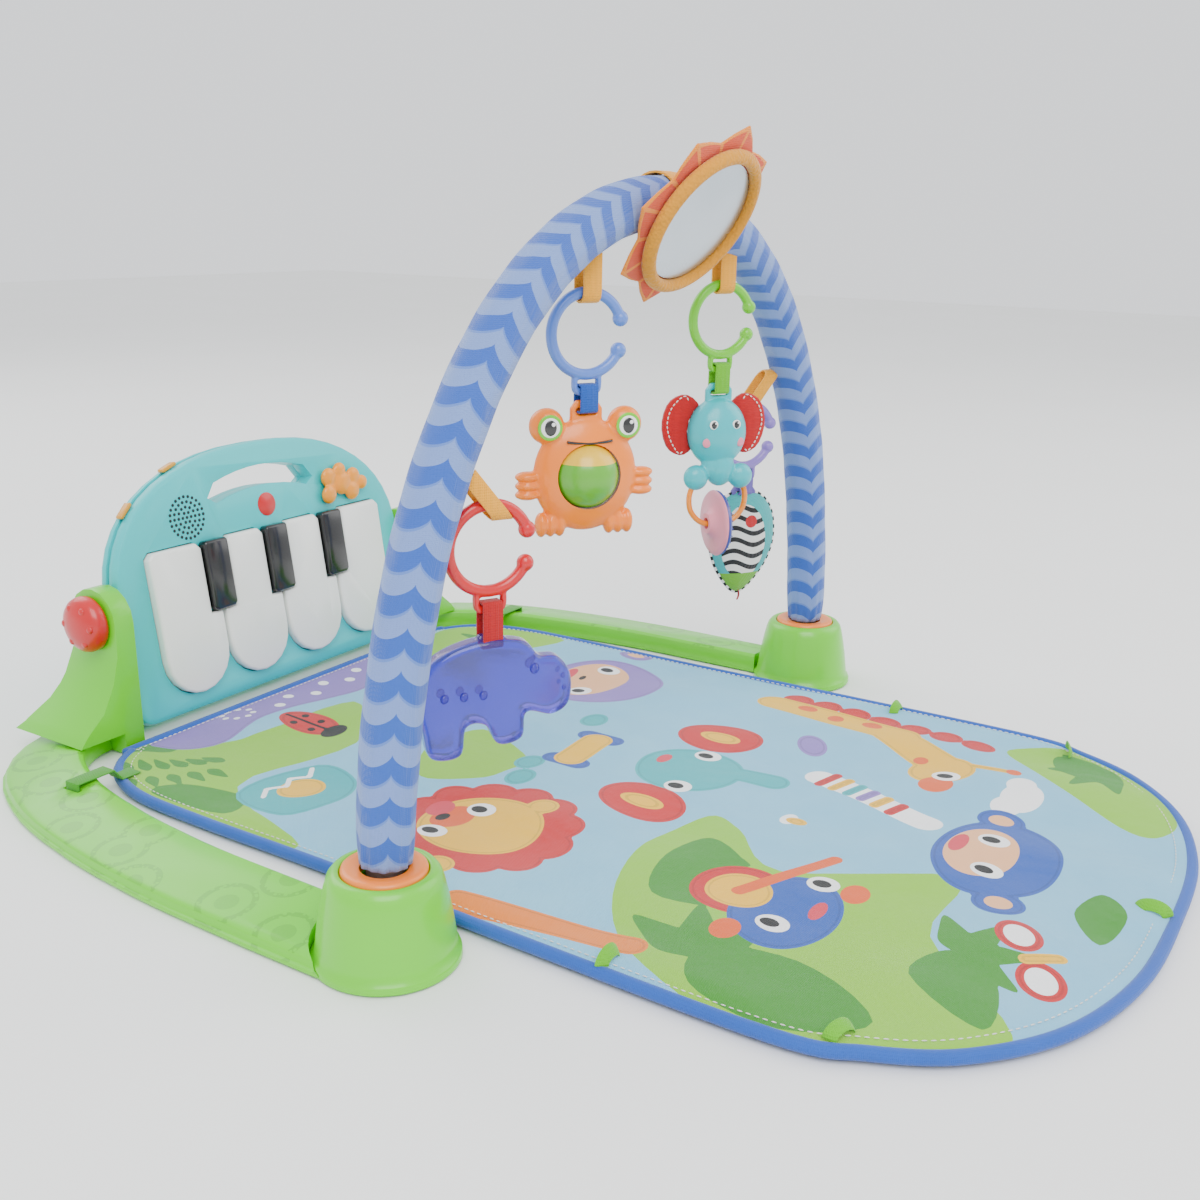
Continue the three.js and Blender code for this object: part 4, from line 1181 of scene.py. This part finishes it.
def sun_finish():
    look = Finish("sun_cloth", Sheen_Weight=0.25)
    parts = look.node("SeparateXYZ", {0: look.node("UVMap", uv_map="UVMap").outputs[0]}).outputs
    angle = look.math("ARCTAN2", parts[1], parts[0])
    ray = look.math(
        "FRACT",
        look.math("DIVIDE", look.math("ADD", angle, math.radians(5 + 720)), math.radians(45)),
    )
    line = look.math("LESS_THAN", look.math("ABSOLUTE", look.math("SUBTRACT", ray, 0.5)), 0.035)
    side_line = look.math("LESS_THAN", look.math("MINIMUM", ray, look.math("SUBTRACT", 1.0, ray)), 0.03)
    radius = look.math(
        "SQRT",
        look.math("ADD", look.math("POWER", parts[0], 2.0), look.math("POWER", parts[1], 2.0)),
    )
    border = look.math(
        "GREATER_THAN",
        radius,
        look.math(
            "ADD",
            55.5,
            look.math("MULTIPLY", look.math("ABSOLUTE", look.math("SUBTRACT", ray, 0.5)), 19.0),
        ),
    )
    marks = look.math("MAXIMUM", look.math("MAXIMUM", line, side_line), border)
    look.into("Base Color", look.mix(marks, colour("ec6a14"), colour("fbab35")))
    look.into("Roughness", look.scaled(look.noise(300.0), 0.72, 0.9))
    height = look.math("ADD", weave_height(look, 0.0011), look.math("MULTIPLY", marks, -2.0))
    look.into("Normal", look.bump(height, 0.0005, 0.6))
    return look.material


sun_place = MIRROR @ Matrix.Translation((0, (-25.4 - 3) * MM, 0)) @ XZ
sun = add_piece(
    "sun_cushion", stuffed("sun", sun_line, 7, sun_place, 1.8), sun_finish(), "mirror", "sun_pad"
)
RIM = [
    (45, 0), (53, 0), (54.2, 2), (54.6, 3.8), (53.8, 6), (52.2, 7.8), (50, 8.9), (48, 9), (46, 7.8),
    (45.1, 6), (45, 0),
]
rim_at = MIRROR @ Vector((0, -31.7 * MM, 0))
rim_axis = MIRROR.to_3x3() @ Vector((0, -1, 0))
rim = lathe("rim", RIM, rim_at, rim_axis, 240)
rim = applied("rim", rim, ("SUBSURF", {"levels": 1, "render_levels": 1}))
ring = add_piece("terry_ring", rim, terry, "mirror", "mirror_rim")
film = Finish("soft_mirror", Metallic=0.92)
film.into("Base Color", film.mix(film.noise(12.0), colour("b9c3cc"), colour("dbe2e8")))
film.into("Roughness", film.scaled(film.noise(9.0), 0.16, 0.34))
film.into("Normal", film.bump(film.noise(22.0, 1.0), 0.0012, 0.4))
DISH = [(0, 2.2), (20, 2.5), (38, 2.9), (44.4, 3), (44.4, 0.2), (0, 0.2)]
add_piece(
    "mirror_film",
    lathe("film", DISH, rim_at, rim_axis, 128),
    film.material,
    "mirror",
    "mirror_plate",
    auto_smooth=40,
)
from_cad("mirror_strap", web_yellow, 35, 0.3)
print("mirror done")

# %% [markdown]
# ## Quilted mat
# The mat is a thin pad with a piped edge and a printed jungle. Every figure of the print is a set of
# simple shapes, written as ovals and rounded outlines. Their signed distances are stored on a fine
# grid of the mat's own skin, one attribute for each ink, and the inks are laid one over another.


# %% Signed distances of the printed shapes
def oval(points, x, y, rx, ry, turn=0.0):
    c, s = math.cos(math.radians(turn)), math.sin(math.radians(turn))
    dx, dy = points[:, 0] - x, points[:, 1] - y
    u, v = (dx * c + dy * s) / rx, (dy * c - dx * s) / ry
    return (np.sqrt(u * u + v * v) - 1) * min(rx, ry)


def patch(points, outline_mm):
    loop = np.array(round_loop(outline_mm, 5))
    nearest = np.full(len(points), 1e9)
    inside = np.zeros(len(points), bool)
    for a, b in zip(loop, np.roll(loop, -1, 0)):
        along = b - a
        t = np.clip(((points - a) @ along) / (along @ along + 1e-9), 0, 1)
        nearest = np.minimum(nearest, np.linalg.norm(points - (a + t[:, None] * along), axis=1))
        if abs(b[1] - a[1]) > 1e-9:
            crosses = (a[1] > points[:, 1]) != (b[1] > points[:, 1])
            inside ^= crosses & (
                points[:, 0] < a[0] + (points[:, 1] - a[1]) * (b[0] - a[0]) / (b[1] - a[1])
            )
    return np.where(inside, -nearest, nearest)


def stroke(points, a, b, half):
    a, b = np.array(a, float), np.array(b, float)
    along = b - a
    t = np.clip(((points - a) @ along) / (along @ along), 0, 1)
    return np.linalg.norm(points - (a + t[:, None] * along), axis=1) - half


def petals_of(x, y, reach, size, count):
    return [
        (
            "oval",
            x + reach * math.cos(math.tau * i / count),
            y + reach * math.sin(math.tau * i / count),
            size,
            size,
        )
        for i in range(count)
    ]


MEADOW = [
    [
        (-190, 341), (-145, 277), (-110, 266), (-14, 257), (-84, 190), (-196, 207), (-240, 100),
        (-251, 162), (-250, 263),
    ],
    [(-56, 137), (-1, 125), (-28, 60), (-61, 59), (-84, 69), (-108, 104)],
    [
        (-177, -111), (-103, -92), (-41, -108), (-50, -138), (-88, -187), (-30, -287), (-110, -296),
        (-185, -367), (-222, -347), (-254, -302), (-257, -229), (-231, -158),
    ],
    [(180, -280), (214, -252), (240, -300), (212, -350), (150, -392), (110, -385), (120, -350)],
    [(90, 190), (150, 240), (235, 200), (240, 290), (180, 320), (110, 280)],
]
LEAVES = [
    [(-160, -130), (-110, -112), (-70, -126), (-100, -170), (-150, -180)],
    [(-240, -200), (-200, -190), (-180, -240), (-215, -300), (-248, -260)],
    [(-160, -300), (-120, -310), (-140, -345), (-190, -352)],
    [(-235, 180), (-205, 190), (-215, 240), (-240, 250)],
    [(-200, 330), (-180, 300), (-160, 312), (-175, 332)],
    [(190, -300), (222, -290), (214, -335), (180, -345)],
    [(-60, -384), (-20, -392), (0, -372), (-30, -362)],
    [(150, 225), (200, 215), (215, 262), (170, 272)],
]
def pointed(x, y, length, width, turn):
    c, s = math.cos(math.radians(turn)), math.sin(math.radians(turn))
    shape = [
        (0, 0),
        (0.3 * length, width),
        (0.7 * length, 0.6 * width),
        (length, 0),
        (0.7 * length, -0.6 * width),
        (0.3 * length, -width),
    ]
    return ("patch", [(x + u * c - v * s, y + u * s + v * c) for u, v in shape])


FRONDS = [pointed(-226 + 11 * i, 292 - 9 * i, 24, 5, 60 + 8 * i) for i in range(6)]
FRONDS += [pointed(-232 + 11 * i, 284 - 9 * i, 24, 5, 235 + 8 * i) for i in range(5)]
FRONDS += [pointed(-214, -190, 62, 13, -60 + 42 * i) for i in range(4)]
FRONDS += [pointed(-120, -318, 46, 10, -120 + 50 * i) for i in range(4)]
FRONDS += [pointed(-86, -128, 40, 9, 160 + 50 * i) for i in range(3)]
FRONDS += [pointed(205, -330, 44, 10, 60 + 48 * i) for i in range(4)]
FRONDS += [pointed(196, 262, 36, 9, 40 + 60 * i) for i in range(5)]
INKS = [
    ("meadow", "a5d84a", [("patch", p) for p in MEADOW]),
    ("leaf", "57a83a", [("patch", p) for p in LEAVES] + FRONDS),
    ("orange", "f39a2f", [("stroke", (-240, -34), (-222, -151), 11)]),
    (
        "cloud",
        "ffffff",
        [
            ("oval", 121, -288, 26, 15), ("oval", 100, -282, 15, 11), ("oval", 142, -282, 15, 11),
            ("oval", -9, -157, 10, 6), ("stroke", (69, -148), (40, -242), 12),
        ],
    ),
    (
        "purple",
        "a690d2",
        [
            (
                "patch",
                [
                    (-176, 308), (-166, 332), (-37, 346), (90, 336), (29, 275), (-20, 281),
                    (-88, 289), (-145, 277),
                ],
            ),
            ("oval", 156, 105, 56, 56),
            ("oval", 89, 124, 17, 17),
            ("oval", 236, 117, 14, 17),
            ("oval", 122, -118, 22, 12, 30),
            ("stroke", (48, -189), (66, -194), 4),
        ],
    ),
    (
        "red",
        "d8333a",
        petals_of(-144, 15, 52, 19, 12)
        + [
            ("oval", 97, -47, 27, 36, 10), ("oval", -45, -55, 27, 36, -10),
            ("oval", -74, 252, 18, 30), ("oval", -126, -175, 32, 32),
        ]
        + [("oval", 222 - 3 * i, -62 - 28 * i, 11, 14) for i in range(7)]
        + [
            ("stroke", (57, -152), (79, -158), 4), ("stroke", (40, -214), (58, -219), 4),
            ("oval", -84, -342, 19, 14, 30), ("oval", -125, -366, 19, 14, 30),
        ],
    ),
    (
        "turquoise",
        "4cc3c9",
        [
            ("patch", [(-204, 200), (-133, 186), (-136, 143), (-172, 128), (-217, 141)]),
            ("oval", 25, -57, 44, 42),
            ("stroke", (32, -40), (41, -121), 13),
            ("oval", -34, 54, 15, 11),
            ("oval", -62, 43, 15, 11),
            ("oval", 70, 60, 15, 11),
            ("stroke", (51, -177), (70, -182), 4),
        ],
    ),
    (
        "blue",
        "3b74c4",
        [
            ("oval", 15, -300, 60, 42), ("oval", 75, -286, 17, 17), ("oval", -47, -319, 17, 17),
            ("oval", -133, -211, 46, 34), ("stroke", (-14, 22), (-14, 44), 10),
            ("stroke", (38, 22), (38, 44), 10),
        ],
    ),
    (
        "yellow",
        "f9cf3f",
        [
            ("oval", -144, 19, 45, 45), ("oval", -98, -3, 12, 12), ("oval", -209, 6, 12, 12),
            ("stroke", (-8, 33), (32, 33), 13), ("oval", -126, -175, 22, 22),
            ("stroke", (-108, -353), (-97, -369), 5), ("oval", -172, 165, 20, 16),
            ("oval", 97, -47, 9, 18), ("oval", -45, -55, 9, 18),
            ("stroke", (202, -49), (189, -169), 17), ("oval", 138, -221, 30, 23, -20),
            ("stroke", (186, -165), (150, -215), 19), ("stroke", (158, -240), (164, -270), 4),
            ("stroke", (54, -164), (75, -170), 4), ("stroke", (44, -201), (62, -206), 4),
            ("oval", -9, -163, 6, 8),
        ],
    ),
    (
        "skin",
        "f7c9a0",
        [
            ("oval", 156, 118, 41, 33), ("oval", 16, -289, 38, 24), ("oval", 89, 124, 9, 9),
            ("oval", 236, 117, 7, 9), ("oval", 75, -286, 9, 9), ("oval", -47, -319, 9, 9),
        ],
    ),
    (
        "ember",
        "ee7b2b",
        [
            ("oval", 205, -78, 7, 9), ("oval", 196, -108, 8, 7), ("oval", 199, -140, 7, 9),
            ("oval", 150, -200, 7, 6), ("oval", 108, -226, 15, 13), ("oval", 164, -270, 6, 6),
            ("oval", -175, -190, 13, 9), ("oval", -90, -240, 13, 9), ("oval", -144, 44, 20, 14),
            ("stroke", (-126, -175), (-53, -211), 5),
        ],
    ),
    (
        "rose",
        "e2566c",
        [
            ("oval", -138, 60, 13, 9), ("oval", 157, 144, 15, 6), ("oval", 20, -272, 15, 6),
            ("oval", 33, -30, 10, 5), ("oval", -122, -228, 11, 5),
        ],
    ),
    (
        "white",
        "ffffff",
        [
            ("oval", x, y, 10, 11)
            for x, y in (
                (-123, 34), (-172, 40), (60, -55), (-10, -66), (128, 112), (184, 116), (36, -292),
                (-8, -300), (-90, -218), (-150, -210), (127, -228),
            )
        ]
        + [("oval", -84, -342, 13, 9, 30), ("oval", -125, -366, 13, 9, 30)]
        + [
            (
                "stroke",
                (-200 + 12 * i, 176 + 9 * (i % 2)),
                (-188 + 12 * i, 176 + 9 * ((i + 1) % 2)),
                2,
            )
            for i in range(5)
        ]
        + [("oval", -60 + 22 * i, 300 + 12 * (i % 2), 5, 5) for i in range(7)]
        + petals_of(-95, 315, 13, 3, 8),
    ),
    (
        "black",
        "17171b",
        [
            ("oval", x, y, 5, 6.5)
            for x, y in (
                (-123, 36), (-172, 42), (60, -53), (-10, -64), (128, 114), (184, 118), (36, -290),
                (-8, -298), (-90, -217), (-150, -208), (127, -227),
            )
        ]
        + [
            ("oval", -148, 50, 7, 4.5), ("oval", 157, 128, 5, 3),
            ("stroke", (-74, 226), (-74, 278), 1.6), ("oval", -74, 224, 13, 9),
        ]
        + [("oval", x, y, 3.5, 3.5) for x, y in ((-82, 242), (-66, 246), (-82, 262), (-66, 264))],
    ),
]


def distance_to(points, shapes):
    total = np.full(len(points), 60.0)
    for kind, *values in shapes:
        made = {"oval": oval, "patch": patch, "stroke": stroke}[kind](points, *values)
        total = np.minimum(total, made)
    return np.clip(total, -60, 60)


# %% Mat pad
MAT_EDGE = [
    (0, -419.5), (86, -415.5), (160, -393.5), (213, -353.5), (241, -307.5), (255, -259.5),
    (254, -100), (250, 60), (250, 190), (246, 262), (228, 306), (198, 328.5), (166, 333.5),
]
mat_loop = np.array(round_loop(MAT_EDGE + [(-x, y) for x, y in MAT_EDGE[:0:-1]], 8))
PITCH = 2.4
xs, ys = np.meshgrid(np.arange(-256, 256.1, PITCH), np.arange(-420, 334.1, PITCH))
spots = np.stack([xs.ravel(), ys.ravel()], 1)
edge_distance = np.full(len(spots), 1e9)
inside = np.zeros(len(spots), bool)
for a, b in zip(mat_loop, np.roll(mat_loop, -1, 0)):
    along = b - a
    t = np.clip(((spots - a) @ along) / (along @ along + 1e-9), 0, 1)
    edge_distance = np.minimum(edge_distance, np.linalg.norm(spots - (a + t[:, None] * along), axis=1))
    if abs(b[1] - a[1]) > 1e-9:
        crosses = (a[1] > spots[:, 1]) != (b[1] > spots[:, 1])
        inside ^= crosses & (spots[:, 0] < a[0] + (spots[:, 1] - a[1]) * (b[0] - a[0]) / (b[1] - a[1]))
keep = inside & (edge_distance > 2.0)
number = -np.ones(len(spots), int)
number[keep] = np.arange(keep.sum())
grid = number.reshape(xs.shape)
ok = (grid[:-1, :-1] >= 0) & (grid[:-1, 1:] >= 0) & (grid[1:, 1:] >= 0) & (grid[1:, :-1] >= 0)
rows, cols = np.nonzero(ok)
quads = np.stack(
    [grid[rows, cols], grid[rows, cols + 1], grid[rows + 1, cols + 1], grid[rows + 1, cols]], 1
)
flat_spots = spots[keep]
depth = np.clip(edge_distance[keep] / 22, 0, 1)
rng = np.random.default_rng(4)
swell = np.zeros(len(flat_spots))
for _ in range(26):
    way = rng.uniform(0, math.tau)
    length = rng.uniform(60, 190)
    phase = rng.uniform(0, math.tau)
    swell += np.sin(
        (flat_spots[:, 0] * math.cos(way) + flat_spots[:, 1] * math.sin(way)) * math.tau / length
        + phase
    )
height = 4.6 + 4.2 * np.sqrt(np.clip(1 - (1 - depth) ** 2, 0, 1)) + 0.32 * swell * depth
height = np.clip(height, 3.5, 11.5)
top_points = np.column_stack([flat_spots, height]) * MM
mat_top = mesh_of("mat_top", top_points, quads.tolist())
bottom = applied("mat_skin", mat_top, ("SOLIDIFY", {"thickness": 3.0 * MM, "offset": -1.0}))
plane = np.array([v.co for v in bottom.vertices])[:, :2] / MM
mat_finish = Finish("printed_mat", Sheen_Weight=0.25, Sheen_Roughness=0.4)
tone = mat_finish.mix(mat_finish.noise(30.0), colour("93cfe9"), colour("a4d9ee"))
for name, code, shapes in INKS:
    layer = bottom.attributes.new("ink_" + name, "FLOAT", "POINT")
    layer.data.foreach_set("value", distance_to(plane, shapes).astype(np.float32))
    ink = mat_finish.node("Attribute", attribute_name="ink_" + name).outputs["Fac"]
    tone = mat_finish.mix(mat_finish.math("LESS_THAN", ink, 0.0), tone, colour(code))
    if name in ("red", "turquoise", "blue", "yellow", "purple", "orange"):
        rim = mat_finish.math(
            "LESS_THAN", mat_finish.math("ABSOLUTE", mat_finish.math("ADD", ink, 2.6)), 0.7
        )
        tone = mat_finish.mix(mat_finish.math("MULTIPLY", rim, 0.55), tone, shade_of(colour(code), 0.6))
mat_finish.into("Base Color", tone)
mat_finish.into("Roughness", mat_finish.scaled(mat_finish.noise(300.0), 0.75, 0.92))
crease = mat_finish.math(
    "ADD",
    weave_height(mat_finish, 0.0013),
    mat_finish.math("MULTIPLY", mat_finish.noise(22.0, 4.0), 18.0),
)
mat_finish.into("Normal", mat_finish.bump(crease, 0.0003, 0.6))
tidy_faces(bottom, 1e-7)
mat = add_piece("jungle_mat", bottom, mat_finish.material, "base", "mat_pad")
piping_loop = [Vector((x * MM * 0.991, y * MM * 0.994, 5.0 * MM)) for x, y in mat_loop]
add_piece("mat_piping", sweep("piping", piping_loop, 4.3 * MM, 14, closed=True), piping_blue, "base")
stitches(
    "mat_stitches",
    [p * 0.975 + Vector((0, 0, 4.0 * MM)) for p in piping_loop],
    "base",
    thread_white,
    5.0,
    (0.4, 0.4, 1.6),
)
for word in ("left", "right"):
    from_cad(f"mat_tie_{word}", web_tie, 35, 0.2)
# Green ribbon loops stand on the mat's edge for more toys.
for i, (x, y, turn) in enumerate(
    ((243, -146, 0), (232, -296, 20), (-5, -404, 90), (-243, -150, 0), (-236, -290, -20))
):
    out = Vector((math.cos(math.radians(turn)), math.sin(math.radians(turn)), 0))
    arc = []
    for k in range(25):
        t = math.pi * k / 24
        arc.append(
            Vector((x * MM, y * MM, 9.0 * MM))
            + out * (9 * math.cos(t) * MM)
            + Vector((0, 0, 5.5 * math.sin(t) * MM))
        )
    ribbon = sweep("ribbon", arc, 4.2 * MM, 12, flat=0.16)
    add_piece(f"ribbon_loop_{i}", ribbon, web_green, "base", auto_smooth=40)
print("mat vertices", len(bottom.vertices))

# %% [markdown]
# ## Floor and light
# The floor is plain and pale. One large soft light from above the camera and two fills keep the
# shadows gentle.

# %% Stage
floor_mesh = mesh_of(
    "floor",
    [(-6, -6, -0.0015), (6, -6, -0.0015), (6, 6, -0.0015), (-6, 6, -0.0015)],
    [(0, 1, 2, 3)],
)
floor = bpy.data.objects.new("floor", floor_mesh)
bpy.context.scene.collection.objects.link(floor)
paper = Finish("pale_floor", Roughness=0.7)
paper.into("Base Color", paper.mix(paper.noise(3.0), colour("f6f6f4"), colour("f9f9f8")))
floor_mesh.materials.append(paper.material)
LIGHTS = [
    ("key", (-1.4, -1.2, 2.2), 1.8, 58),
    ("fill", (1.8, -1.4, 1.6), 2.0, 24),
    ("back", (0.2, 2.2, 1.9), 1.8, 28),
]
for name, spot, size, power in LIGHTS:
    light_data = bpy.data.lights.new(name, "AREA")
    light_data.energy = power
    light_data.size = size
    light = bpy.data.objects.new(name, light_data)
    bpy.context.scene.collection.objects.link(light)
    light.location = spot
    light.rotation_euler = (Vector((0, 0, 0.15)) - Vector(spot)).to_track_quat("-Z", "Y").to_euler()
world = bpy.data.worlds.new("studio")
world.use_nodes = True
world.node_tree.nodes["Background"].inputs[0].default_value = (0.95, 0.97, 1.0, 1.0)
world.node_tree.nodes["Background"].inputs[1].default_value = 1.35
bpy.context.scene.world = world
